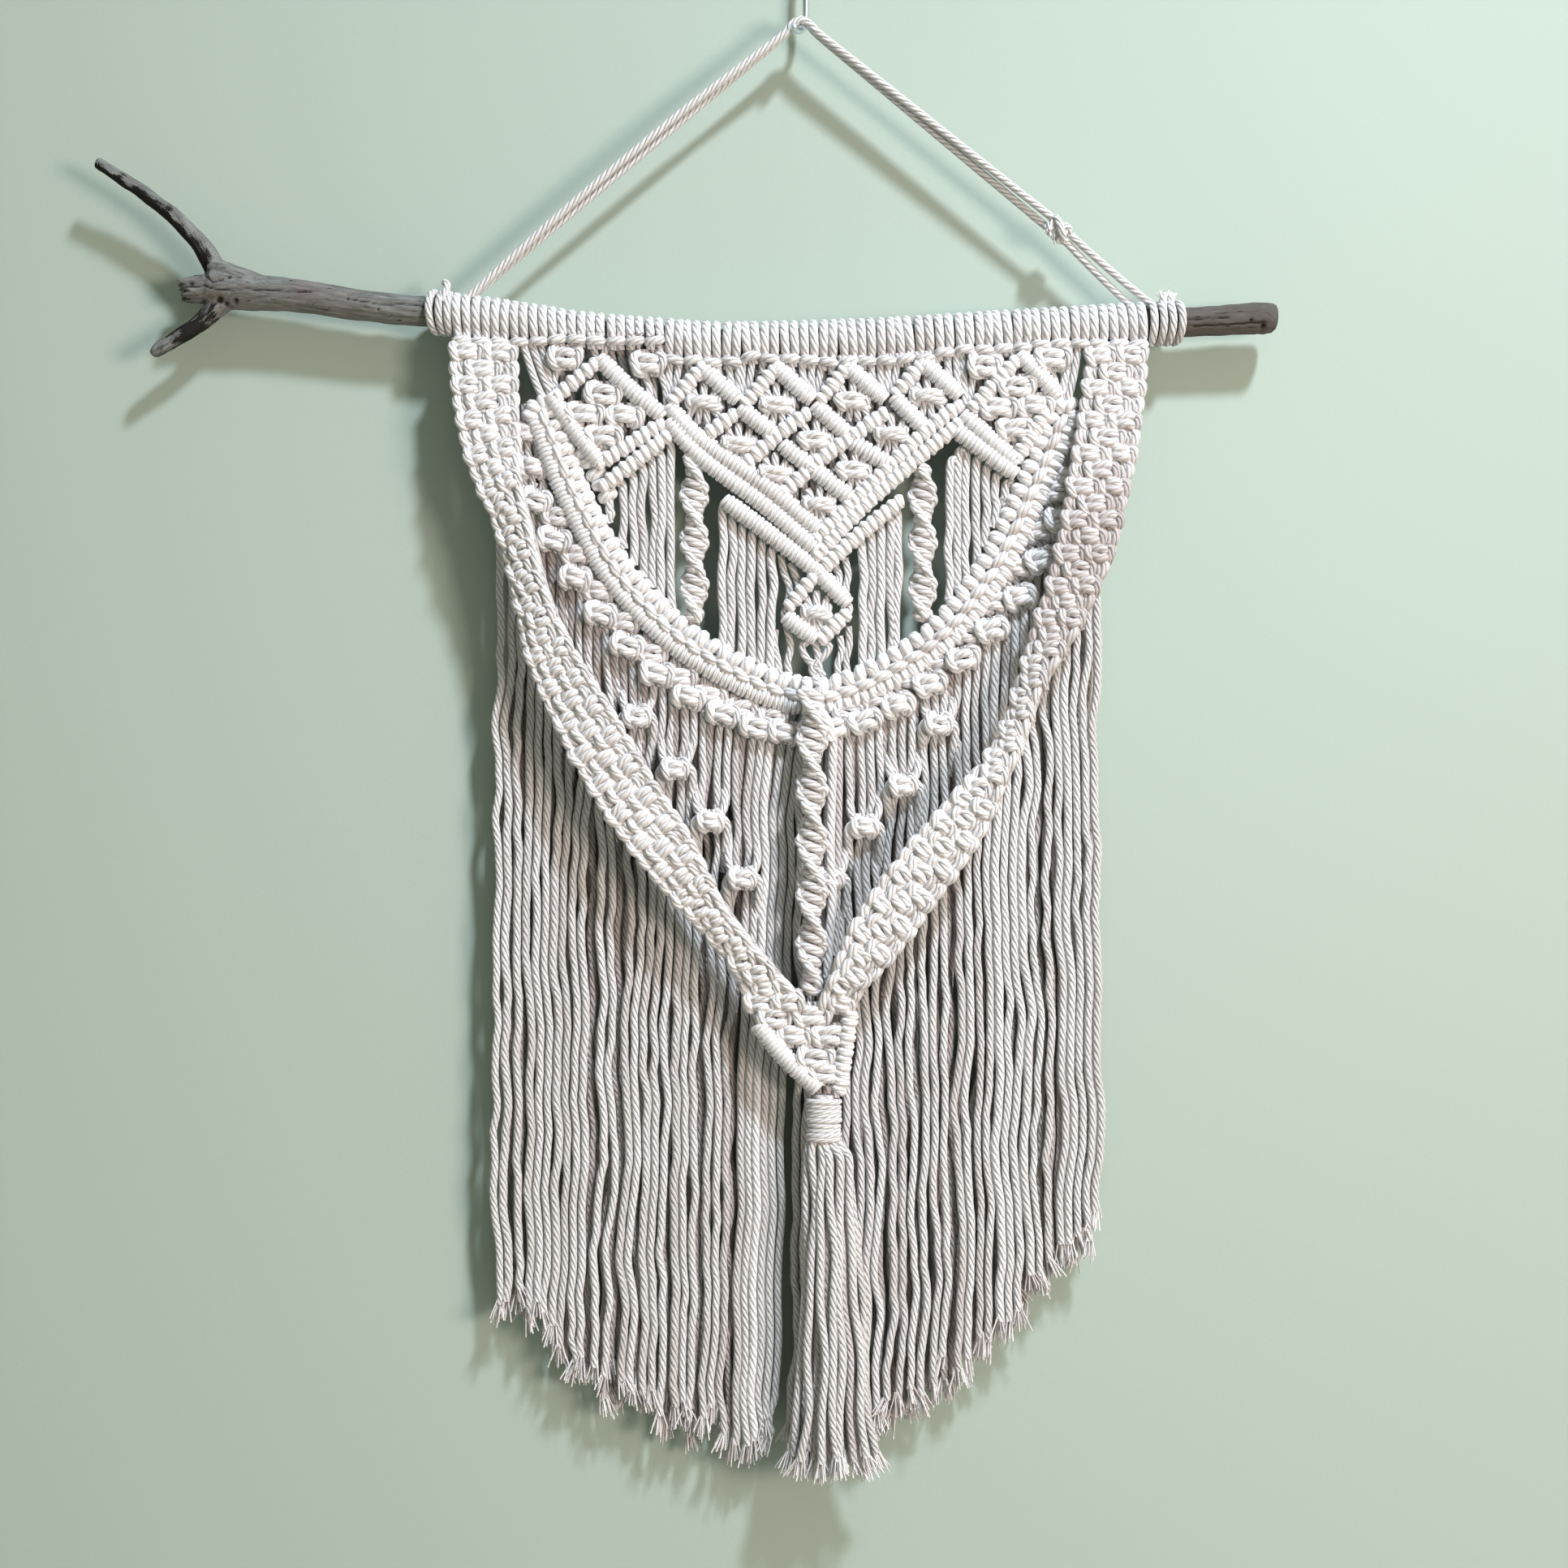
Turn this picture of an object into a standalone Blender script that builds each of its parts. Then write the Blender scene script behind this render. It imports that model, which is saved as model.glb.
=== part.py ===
"""A macrame wall hanging: a forked driftwood branch on a cord and a wire hook, with a knotted
cotton panel, two hanging straps that join in an arrow with a tassel, and a long fringe.

Every size below is in millimetres, and solids are written in metres. +X runs to the right and
+Z up. The wall is the plane y = 0 and the room is on its -Y side. The origin is the flat end
of the hook, where it meets the wall.
"""

import math

import bmesh
import bpy
from mathutils import Vector
from mathutils.geometry import delaunay_2d_cdt

MM = 0.001

# Driving dimensions
GAP = 0.3  # clearance between neighbouring pieces
HANGER_CORD = 3.4  # the thinner cord of the hanger
HOOK_WIRE = 3.0
STEM_Y = -16.0  # axis of the branch, in front of the wall
STEM_SIDES = 12
WRAP_RADIUS = 10.0  # outside of the cord turns on the branch
BAR_RADIUS = 12.9  # lower front edge of the knots' cross bars
HEADING = (-165.7, 159.7)  # ends of the row of lark's head knots
HEADING_STEPS = 14
END_WRAPS = ((-175.5, -166.0), (160.0, 175.5))
PANEL_Y = -22.4  # middle of the knotted panels
PANEL_THICK = 4.6
BAR_THICK = 7.0  # a double half hitch bar
CURTAIN_THICK = 4.4
CURTAIN_Y = -20.6
SMILE_Y = -20.4
SMILE_WIDTH = 18.5
ROWS_Y = -19.6
ROWS_WIDTH = 17.0
ROWS_TOP = -240.0  # where the rows of knots outside the curved band start
ROWS_SPLIT = 1.5  # x where the left and right rows meet
FRINGE_Y = -12.0
FRINGE_TOP_Y = -18.4
FRINGE_THICK = 7.0
STRAP_THICK = 7.0

# The branch: x, z and radius along its stem
STEM = (
    (-286.0, -155.4, 6.6),
    (-280.0, -156.0, 8.8),
    (-265.0, -158.5, 8.7),
    (-238.6, -160.7, 7.7),
    (-204.4, -165.7, 7.2),
    (-171.8, -168.7, 7.0),
    (-127.0, -174.8, 6.8),
    (-106.0, -178.2, 6.8),
    (-69.0, -181.3, 6.8),
    (-36.0, -183.2, 6.8),
    (29.0, -181.6, 6.8),
    (93.0, -177.8, 6.8),
    (157.0, -174.2, 6.8),
    (175.0, -173.3, 6.9),
    (221.2, -170.8, 7.3),
)
# Side shoots: x, y, z and radius from the hub outwards
UPPER_TWIG = (
    (-276.0, -16.0, -151.0, 5.0),
    (-283.9, -16.5, -136.5, 3.9),
    (-296.4, -17.5, -124.0, 3.3),
    (-307.8, -18.5, -115.1, 3.0),
    (-320.0, -19.5, -107.2, 2.7),
    (-332.5, -20.5, -98.8, 2.4),
)
LOWER_TWIG = (
    (-276.5, -16.5, -162.5, 4.8),
    (-281.6, -17.5, -171.8, 3.7),
    (-288.0, -18.5, -176.7, 3.3),
    (-294.5, -19.5, -180.6, 3.2),
    (-306.5, -21.0, -189.0, 2.6),
)
STUB = (
    (-280.0, -16.5, -156.5, 6.6),
    (-287.5, -17.5, -157.0, 6.4),
    (-292.5, -18.2, -158.0, 4.4),
)

# The hook's wire from the wall to its tip: x, y, z
HOOK_ROUTE = (
    (0.0, 0.0, 0.0),
    (0.0, -4.0, 0.0),
    (0.0, -8.2, -1.8),
    (0.0, -10.0, -6.5),
    (0.0, -10.2, -16.0),
    (0.0, -10.3, -27.0),
    (-0.6, -11.6, -33.0),
    (-2.6, -16.0, -36.2),
    (-4.6, -21.0, -36.9),
    (-6.0, -25.5, -36.4),
)
# Each hanger strand from the branch over the hook to the knot: its y, and how much higher
# than the first strand it runs
HANGER_STRANDS = ((-16.2, 0.0), (-20.0, 1.4))
HANGER_LEFT_X = -158.5
HANGER_APEX = (-2.2, -31.8)
KNOT_MIDDLE = (118.0, -131.0)
KNOT_HALF_LENGTH = 6.0
KNOT_PROFILE = ((-1.0, 4.4), (-0.6, 5.8), (0.0, 6.4), (0.6, 5.7), (1.0, 4.2))
# Below the knot: start x, start z, end x, y
TAILS = (
    (122.4, -135.6, 153.8, -15.0),
    (124.3, -132.6, 162.6, -18.4),
)

# The curved band between the top corners: x and z of its middle line
SMILE = (
    (-123.0, -214.5),
    (-116.0, -233.0),
    (-106.5, -256.0),
    (-85.0, -294.0),
    (-48.5, -328.0),
    (4.0, -348.6),
    (54.0, -327.0),
    (84.0, -294.0),
    (103.5, -256.0),
    (113.5, -233.0),
    (120.5, -214.5),
)
# Two bare cords that carry each end of the band: x at the top, x at the bottom
PAIRS = (
    ("pair_left", (-133.2, -125.8), (-125.2, -117.8)),
    ("pair_right", (120.6, 127.8), (115.6, 122.8)),
)
# Curtains inside the band: ends in x, cords, and the edge that they hang from as x and z
CURTAINS = (
    ("comb_left", (-91.5, -63.6), 6, ((-93.8, -253.5), (-66.9, -221.4), (-60.0, -221.4))),
    ("comb_mid_left", (-40.4, -17.2), 5, ((-43.4, -247.5), (-39.0, -258.5), (4.3, -291.5))),
    ("comb_mid_right", (25.7, 43.2), 4, ((4.3, -291.5), (46.0, -258.5), (49.6, -247.5))),
    ("comb_right", (65.9, 94.0), 6, ((60.0, -226.0), (73.2, -226.0), (95.6, -249.5))),
)
# Straps: left edge x, y, z and right edge x, y, z, from the heading to the arrow. The first
# row's z is the heading's lower edge.
STRAP_LEFT = (
    (-165.5, -22.4, 0.0, -134.6, -22.4, 0.0),
    (-165.3, -24.5, -203.0, -134.2, -24.5, -203.0),
    (-158.8, -28.5, -235.6, -133.0, -31.0, -230.0),
    (-149.3, -27.0, -258.4, -131.6, -39.0, -251.0),
    (-140.0, -25.5, -281.2, -125.8, -43.0, -275.5),
    (-134.1, -26.0, -305.9, -119.8, -43.5, -299.0),
    (-129.6, -28.5, -327.0, -110.3, -43.0, -321.5),
    (-120.5, -32.5, -352.3, -98.5, -41.5, -341.5),
    (-106.4, -35.5, -380.8, -83.6, -40.0, -365.0),
    (-92.7, -36.5, -403.9, -70.0, -39.0, -388.5),
    (-74.5, -35.0, -428.6, -54.3, -39.0, -412.7),
    (-53.0, -28.5, -452.5, -38.0, -41.0, -445.0),
    (-34.5, -25.5, -473.5, -18.5, -41.0, -470.5),
    (-26.3, -27.0, -494.0, 2.0, -36.0, -494.0),
)
STRAP_RIGHT = (
    (131.1, -22.4, 0.0, 158.8, -22.4, 0.0),
    (129.6, -24.5, -203.0, 157.7, -24.5, -203.0),
    (124.2, -29.0, -235.6, 153.1, -29.0, -235.6),
    (120.4, -31.5, -258.4, 147.8, -32.5, -258.4),
    (116.6, -31.5, -279.0, 143.3, -36.5, -279.0),
    (110.8, -28.5, -302.0, 133.8, -41.0, -302.0),
    (103.0, -25.5, -326.8, 121.2, -43.5, -326.0),
    (96.5, -25.5, -349.6, 108.5, -44.5, -346.0),
    (88.6, -27.0, -371.0, 100.7, -44.0, -369.0),
    (75.2, -31.0, -387.6, 91.8, -42.5, -390.0),
    (61.9, -35.5, -401.7, 80.6, -39.5, -414.2),
    (42.2, -37.0, -423.7, 60.0, -38.0, -443.5),
    (25.8, -37.5, -447.3, 43.0, -37.0, -466.5),
    (13.6, -37.5, -471.6, 27.0, -33.5, -484.5),
    (5.2, -36.0, -494.0, 21.0, -28.5, -494.0),
)
STRAP_STATIONS = 25

# The arrow below the straps, the turns below it and the tassel
ARROW_Y = -31.0
ARROW_TOP = -494.6
ARROW = ((-29.5, 0.0), (-27.5, -7.0), (1.5, -40.5), (18.5, -40.5), (24.5, 0.0))  # x, below top
ARROW_HOLE = ((3.8, -511.4), 2.2)
WRAP_BAND = (8.2, -535.5, -555.6)  # middle x, top z, bottom z
WRAP_BAND_HALF = (8.3, 6.9)
WRAP_BAND_TURNS = 8
TASSEL_Y = -30.0
# z, middle x, half width, half depth
TASSEL = (
    (-556.0, 8.3, 8.0, 6.6),
    (-562.0, 10.0, 11.0, 8.6),
    (-600.0, 11.4, 14.4, 9.8),
    (-640.0, 12.2, 16.2, 10.6),
    (-680.0, 12.4, 18.6, 11.2),
    (-704.0, 12.6, 23.0, 11.8),
    (-714.0, 12.6, 26.5, 12.0),
)
TASSEL_LOBES = 9
TASSEL_RAGGED = 7.0

# Half-knot spirals: middle x, y, top z, bottom z, half width, half turn pitch
SPIRALS = {
    "spiral_left": (-52.5, -21.0, -240.6, -313.5, 6.2, 19.0),
    "spiral_right": (54.5, -21.0, -249.0, -312.5, 6.2, 19.0),
    "centre_sinnet": (3.2, -31.15, -338.5, -477.0, 6.4, 22.8),
}
SPIRAL_FLATNESS = 0.55

# The lower ends of the fringe: x and z
FRINGE_ENDS_LEFT = (
    (-146.0, -632.0),
    (-126.0, -637.0),
    (-111.0, -661.0),
    (-88.0, -676.0),
    (-66.0, -686.0),
    (-43.0, -692.0),
    (-24.0, -702.0),
    (-18.0, -697.0),
)
FRINGE_ENDS_RIGHT = (
    (-6.5, -697.0),
    (10.0, -695.0),
    (41.0, -688.0),
    (65.0, -674.0),
    (84.0, -656.0),
    (98.0, -638.0),
    (117.0, -616.0),
    (134.0, -607.0),
    (140.0, -588.0),
)
FRINGE_PITCH = 9.0
FRINGE_SLIT = 0.8  # between the teeth of the fringe
FRINGE_ROWS = 7
FRINGE_SLIT_ROW = 3  # rows above this one are one sheet
FRINGE_SWAY = 1.1


def material(name, colour, roughness, metallic=0.0):
    made = bpy.data.materials.new(name)
    made.use_nodes = True
    shader = made.node_tree.nodes["Principled BSDF"]
    shader.inputs["Base Color"].default_value = (*colour, 1.0)
    shader.inputs["Roughness"].default_value = roughness
    shader.inputs["Metallic"].default_value = metallic
    return made


def add_mesh(name, points, faces, colour):
    """One object from points in millimetres, with its faces turned outwards."""
    mesh = bpy.data.meshes.new(name)
    mesh.from_pydata([Vector(p) * MM for p in points], [], faces)
    form = bmesh.new()
    form.from_mesh(mesh)
    bmesh.ops.recalc_face_normals(form, faces=form.faces)
    form.to_mesh(mesh)
    form.free()
    mesh.materials.append(colour)
    made = bpy.data.objects.new(name, mesh)
    bpy.context.scene.collection.objects.link(made)
    return made


def loft(name, rings, colour):
    """A closed solid through rings of equal count, with a flat end at each side."""
    count = len(rings[0])
    points = [p for ring in rings for p in ring]
    faces = [tuple(range(count)), tuple(range(len(points) - count, len(points)))]
    for k in range(len(rings) - 1):
        for i in range(count):
            a = k * count + i
            b = k * count + (i + 1) % count
            faces.append((a, b, b + count, a + count))
    made = add_mesh(name, points, faces, colour)
    made.data.shade_smooth()
    made.data.set_sharp_from_angle(angle=math.radians(50))
    return made


def sleeve(name, outer, inner, colour):
    """A closed tube wall between two sets of rings of equal count."""
    count = len(outer[0])
    last = len(outer) - 1
    points = [p for ring in outer + inner for p in ring]
    shift = count * len(outer)
    faces = []
    for k in range(last):
        for i in range(count):
            a = k * count + i
            b = k * count + (i + 1) % count
            faces.append((a, b, b + count, a + count))
            faces.append((a + shift, a + count + shift, b + count + shift, b + shift))
    for k in (0, last):
        for i in range(count):
            a = k * count + i
            b = k * count + (i + 1) % count
            faces.append((a, b, b + shift, a + shift))
    return add_mesh(name, points, faces, colour)


def smooth(rows, count):
    """The rows of a table read as one smooth curve, at evenly spaced steps of its index."""
    last = len(rows) - 1
    found = []
    for k in range(count):
        at = last * k / (count - 1)
        i = min(int(at), last - 1)
        t = at - i
        p0, p1, p2, p3 = (rows[min(max(j, 0), last)] for j in (i - 1, i, i + 1, i + 2))
        found.append(
            tuple(
                0.5
                * (
                    2 * b
                    + (c - a) * t
                    + (2 * a - 5 * b + 4 * c - d) * t * t
                    + (3 * b - a - 3 * c + d) * t**3
                )
                for a, b, c, d in zip(p0, p1, p2, p3)
            )
        )
    return found


def at_x(rows, x, column=1):
    """A table's column at x, on straight lines between its rows."""
    rows = sorted(rows)
    if x <= rows[0][0]:
        return rows[0][column]
    for a, b in zip(rows, rows[1:]):
        if x <= b[0]:
            return a[column] + (b[column] - a[column]) * (x - a[0]) / (b[0] - a[0])
    return rows[-1][column]


def frame_at(points, k):
    """The direction of a path at point k, and two directions across it."""
    ahead = points[min(k + 1, len(points) - 1)]
    behind = points[max(k - 1, 0)]
    along = (Vector(ahead) - Vector(behind)).normalized()
    across = along.cross(Vector((0, 1, 0))).normalized()
    return along, across, along.cross(across)


def round_sweep(name, rows, sides, count, colour):
    """A round solid along rows of x, y, z and radius."""
    path = smooth(rows, count)
    centres = [p[:3] for p in path]
    rings = []
    for k, row in enumerate(path):
        _, across, third = frame_at(centres, k)
        ring = []
        for i in range(sides):
            turn = math.tau * i / sides
            reach = across * math.cos(turn) + third * math.sin(turn)
            ring.append(Vector(row[:3]) + reach * row[3])
        rings.append(ring)
    return loft(name, rings, colour)


def tube(name, route, diameter, colour, resolution, spacing=2.5, flat_start=0):
    """A cord or wire as a bevelled curve, on points read from a smooth curve."""
    dense = smooth(route, 40 * len(route))
    kept = [Vector(p) for p in route[:flat_start]]
    kept = kept or [Vector(dense[0])]
    start = dense.index(min(dense, key=lambda p: (Vector(p) - kept[-1]).length))
    for p in dense[start:]:
        if (Vector(p) - kept[-1]).length >= spacing * diameter:
            kept.append(Vector(p))
    if (Vector(dense[-1]) - kept[-1]).length < 0.6 * spacing * diameter:
        kept.pop()
    kept.append(Vector(dense[-1]))
    curve = bpy.data.curves.new(name, "CURVE")
    curve.dimensions = "3D"
    curve.bevel_depth = diameter / 2 * MM
    curve.bevel_resolution = resolution
    curve.use_fill_caps = True
    spline = curve.splines.new("POLY")
    spline.points.add(len(kept) - 1)
    for point, p in zip(spline.points, kept):
        point.co = (*(p * MM), 1.0)
    curve.materials.append(colour)
    made = bpy.data.objects.new(name, curve)
    bpy.context.scene.collection.objects.link(made)
    return made


def join(target, parts):
    """Unites closed parts with the target, which keeps its name."""
    for part in parts:
        part.hide_render = True
        part.display_type = "WIRE"
        cut = target.modifiers.new(part.name, "BOOLEAN")
        cut.operation = "UNION"
        cut.solver = "EXACT"
        cut.object = part


def stem_at(x):
    return at_x(SMOOTH_STEM, x, 1), at_x(SMOOTH_STEM, x, 2)


def stem_ring(x, radius, bar_radius=None):
    """A ring around the branch at x. One corner may stand out for the cross bars."""
    middle, _ = stem_at(x)
    ring = []
    for i in range(STEM_SIDES):
        turn = math.tau * i / STEM_SIDES
        reach = bar_radius if bar_radius and i == STEM_SIDES - 2 else radius
        ring.append((x, STEM_Y - reach * math.cos(turn), middle + reach * math.sin(turn)))
    return ring


def heading_steps(ends, steps):
    return [ends[0] + (ends[1] - ends[0]) * k / steps for k in range(steps + 1)]


def hang_height(x):
    """The height just under the cross bars at x, where a panel's top edge starts."""
    middle, _ = stem_at(x)
    return middle - BAR_RADIUS * math.sin(math.radians(60)) - GAP


def build_branch(wood):
    wrapped = [
        *heading_steps(END_WRAPS[0], 2),
        *heading_steps(HEADING, HEADING_STEPS),
        *heading_steps(END_WRAPS[1], 3),
    ]
    left = [STEM[0][0] + (wrapped[0] - STEM[0][0]) * k / 13 for k in range(13)]
    right = [wrapped[-1] + (STEM[-1][0] - wrapped[-1]) * k / 6 for k in range(1, 7)]
    rings = [stem_ring(x, stem_at(x)[1]) for x in left + wrapped + right]
    branch = loft("branch", rings, wood)
    shoots = (
        round_sweep("upper_twig", UPPER_TWIG, 10, 12, wood),
        round_sweep("lower_twig", LOWER_TWIG, 10, 10, wood),
        round_sweep("stub", STUB, 9, 5, wood),
    )
    join(branch, shoots)


def build_wraps(cotton):
    def wrap(name, xs, bar_radius):
        inner = [stem_ring(x, stem_at(x)[1] + GAP) for x in xs]
        outer = [stem_ring(x, WRAP_RADIUS, bar_radius) for x in xs]
        sleeve(name, outer, inner, cotton)

    wrap("heading", heading_steps(HEADING, HEADING_STEPS), BAR_RADIUS)
    wrap("end_wrap_left", heading_steps(END_WRAPS[0], 2), None)
    wrap("end_wrap_right", heading_steps(END_WRAPS[1], 3), None)


def build_hanger(cotton, steel):
    tube("hook", HOOK_ROUTE, HOOK_WIRE, steel, 3, 1.0, flat_start=2)
    leg = Vector((KNOT_MIDDLE[0] - HANGER_APEX[0], 0, KNOT_MIDDLE[1] - HANGER_APEX[1]))
    leg.normalize()
    knot_top = Vector((KNOT_MIDDLE[0], 0, KNOT_MIDDLE[1])) - leg * (KNOT_HALF_LENGTH + 0.5)
    for name, (y, lift) in zip(("hanger_cord_a", "hanger_cord_b"), HANGER_STRANDS):
        left_z = stem_at(HANGER_LEFT_X)[0] + WRAP_RADIUS + HANGER_CORD / 2 + GAP
        left = Vector((HANGER_LEFT_X, y, left_z))
        apex = Vector((HANGER_APEX[0], y, HANGER_APEX[1]))
        right = Vector((knot_top.x, y, knot_top.z + 0.8 * lift))
        higher = Vector((0, 0, lift))
        route = [left, left.lerp(apex, 0.3) + higher, left.lerp(apex, 0.65) + higher]
        route += [left.lerp(apex, 0.93), apex + Vector((-4.5, 0, -2.4)), apex]
        route += [apex + Vector((4.5, 0, -2.6))]
        route += [right.lerp(apex, t) for t in (0.93, 0.7, 0.35, 0.0)]
        route = [tuple(p) for p in route]
        tube(name, route, HANGER_CORD, cotton, 2, 1.4)
    middle = Vector((KNOT_MIDDLE[0], -17.3, KNOT_MIDDLE[1] + 0.4))
    across = Vector((0, 1, 0))
    third = leg.cross(across)
    rings = []
    for at, radius in KNOT_PROFILE:
        ring = []
        for i in range(10):
            turn = math.tau * i / 10
            reach = (across * math.cos(turn) + third * math.sin(turn)) * radius
            ring.append(middle + leg * (at * KNOT_HALF_LENGTH) + reach)
        rings.append(ring)
    loft("hanger_knot", rings, cotton)
    for name, (x0, z0, x1, y) in zip(("hanger_tail_a", "hanger_tail_b"), TAILS):
        z1 = stem_at(x1)[0] + WRAP_RADIUS + 1.7
        start = Vector((x0, -17.3 + 0.5 * (y + 17.3), z0))
        end = Vector((x1, y, z1))
        tube(name, [tuple(start.lerp(end, t / 4)) for t in range(5)], HANGER_CORD, cotton, 2)
    add_tuft("tie_left", (-169.0, -17.5, stem_at(-169.0)[0] + WRAP_RADIUS + 2.5), 3.0, 2.1, cotton)
    middle_right, _ = stem_at(169.5)
    tie_reach = WRAP_RADIUS + GAP + 3.4
    add_tuft(
        "tie_right",
        (169.5, STEM_Y - tie_reach * 0.64, middle_right + tie_reach * 0.77),
        4.6,
        3.3,
        cotton,
    )


def add_tuft(name, middle, half_length, radius, colour):
    """A small knotted end: an egg along X."""
    rings = []
    for k in range(1, 6):
        along = math.cos(math.pi * k / 6)
        ring = []
        for i in range(10):
            turn = math.tau * i / 10
            reach = radius * math.sin(math.pi * k / 6)
            ring.append(
                (
                    middle[0] + half_length * along,
                    middle[1] + reach * math.cos(turn),
                    middle[2] + reach * math.sin(turn),
                )
            )
        rings.append(ring)
    loft(name, rings, colour)


def panel(name, outline, colour, holes=(), bars=(), y=PANEL_Y, thick=PANEL_THICK):
    """A flat knotted panel with through holes, and round bars across its front."""
    loops = [outline, *holes]
    flat = [Vector(p) for loop in loops for p in loop]
    edges = []
    start = 0
    for loop in loops:
        edges += [(start + i, start + (i + 1) % len(loop)) for i in range(len(loop))]
        start += len(loop)
    inside_with_holes = 4
    found = delaunay_2d_cdt(flat, edges, [], inside_with_holes, 0.001)
    count = len(found[0])
    points = [(p.x, y - thick / 2, p.y) for p in found[0]]
    points += [(p.x, y + thick / 2, p.y) for p in found[0]]
    faces = []
    uses = {}
    for a, b, c in found[2]:
        faces.append((a, b, c))
        faces.append((a + count, c + count, b + count))
        for side in ((a, b), (b, c), (c, a)):
            key = tuple(sorted(side))
            uses[key] = uses.get(key, 0) + 1
    for (a, b), times in uses.items():
        if times == 1:
            faces.append((a, b, b + count, a + count))
    made = add_mesh(name, points, faces, colour)
    ridges = []
    for k, (x0, z0, x1, z1) in enumerate(bars):
        radius = BAR_THICK / 2
        rows = [
            (x0 + (x1 - x0) * t, y - thick / 2 + 0.4, z0 + (z1 - z0) * t, radius * swell)
            for t, swell in ((0.0, 0.75), (0.06, 1.0), (0.94, 1.0), (1.0, 0.75))
        ]
        ridges.append(round_sweep(f"{name}_bar_{k}", rows, 8, 4, colour))
    join(made, ridges)
    return made


def diamond_hole(x, z, half):
    return [(x - half, z), (x, z - half), (x + half, z), (x, z + half)]


def hung_edge(x0, x1, steps):
    """The top edge of a panel under the heading, from x0 to x1."""
    xs = [x0 + (x1 - x0) * k / steps for k in range(steps + 1)]
    return [(x, hang_height(x)) for x in xs]


def build_panels(cotton):
    panel(
        "diamond_left",
        [(-116.5, -206.5), (-93.8, -253.5), (-66.9, -221.0), *hung_edge(-66.9, -123.2, 4)],
        cotton,
        [diamond_hole(x, z, 1.9) for x, z in ((-101.0, -213.0), (-87.0, -213.0), (-94.0, -231.5))],
        [
            (-112.0, -205.0, -98.0, -193.0),
            (-93.5, -193.5, -70.0, -219.5),
            (-112.0, -208.5, -93.6, -246.5),
            (-71.3, -221.2, -92.5, -246.8),
        ],
    )
    panel(
        "diamond_right",
        [(73.2, -217.0), (95.6, -249.5), (112.2, -206.5), *hung_edge(118.2, 73.4, 4)],
        cotton,
        [diamond_hole(x, z, 1.9) for x, z in ((88.5, -211.0), (102.0, -211.0), (95.5, -228.5))],
        [
            (110.0, -205.5, 98.0, -192.0),
            (94.0, -192.0, 77.0, -211.0),
            (77.6, -217.6, 94.9, -242.7),
            (108.4, -209.9, 94.9, -242.7),
        ],
    )
    small_middles = (-47.9, -13.3, 21.7, 56.6)
    bars = []
    for x in small_middles:
        bars += [
            (x + 1.0, -197.5, x + 9.8, -207.5),
            (x - 1.0, -197.5, x - 9.8, -207.5),
        ]
    bars += [
        (-60.0, -222.0, 0.5, -272.5),
        (-40.5, -250.5, 1.5, -284.5),
        (66.0, -222.0, 7.5, -272.5),
        (48.0, -250.5, 6.5, -284.5),
    ]
    hole_places = [(x + side * 6.4, -213.5) for x in small_middles for side in (-1, 1)]
    hole_places += [(-31.0, -231.5), (-22.5, -231.5), (4.5, -228.0), (31.0, -231.5), (39.5, -231.5)]
    hole_places += [(-5.0, -246.5), (14.0, -246.5)]
    panel(
        "centre_net",
        [
            (-62.1, -221.0),
            (-43.4, -247.5),
            (-39.0, -258.5),
            (4.3, -291.5),
            (46.0, -258.5),
            (49.6, -247.5),
            (68.5, -221.0),
            *hung_edge(68.5, -61.8, 9),
        ],
        cotton,
        [diamond_hole(x, z, 1.8) for x, z in hole_places],
        bars,
    )
    panel(
        "small_diamond",
        [
            (0.4, -291.7),
            (-11.6, -308.5),
            (0.6, -322.5),
            (1.2, -337.2),
            (9.4, -337.2),
            (9.0, -322.5),
            (20.4, -308.5),
            (8.4, -291.7),
            (4.4, -292.1),
        ],
        cotton,
        [diamond_hole(x, -308.5, 1.8) for x in (-3.4, 12.2)],
        [
            (2.0, -295.5, -8.0, -307.0),
            (6.8, -295.5, 16.8, -307.0),
            (-8.0, -310.0, 2.0, -321.0),
            (16.8, -310.0, 6.8, -321.0),
        ],
    )
    low = SMILE[0][1] + 2.7
    for name, top, bottom in PAIRS:
        outline = [(bottom[0], low), (bottom[1], low), *hung_edge(top[1], top[0], 1)]
        panel(name, outline, cotton, y=PANEL_Y - 0.2, thick=3.8)


def smile_path(count):
    return smooth(SMILE, count)


def offset_path(path, distance):
    """The path moved outwards, away from the inside of the curve."""
    moved = []
    for k, (x, z) in enumerate(path):
        ahead = path[min(k + 1, len(path) - 1)]
        behind = path[max(k - 1, 0)]
        along = Vector((ahead[0] - behind[0], ahead[1] - behind[1])).normalized()
        moved.append((x + along.y * distance, z - along.x * distance))
    return moved


def curve_height(path, x):
    return at_x(path, x, 1)


def band(name, path, profile, y, colour, taper=0.0):
    """A flat band along a path. The profile gives width outwards and y of each corner."""
    rings = []
    last = len(path) - 1
    for k in range(len(path)):
        near_end = min(k, last - k) / last
        scale = 1.0 - taper * max(0.0, 1.0 - near_end / 0.12)
        ahead = path[min(k + 1, last)]
        behind = path[max(k - 1, 0)]
        along = Vector((ahead[0] - behind[0], ahead[1] - behind[1])).normalized()
        rings.append(
            [
                (
                    path[k][0] + along.y * w * scale,
                    y + lift,
                    path[k][1] - along.x * w * scale,
                )
                for w, lift in profile
            ]
        )
    return loft(name, rings, colour)


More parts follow.
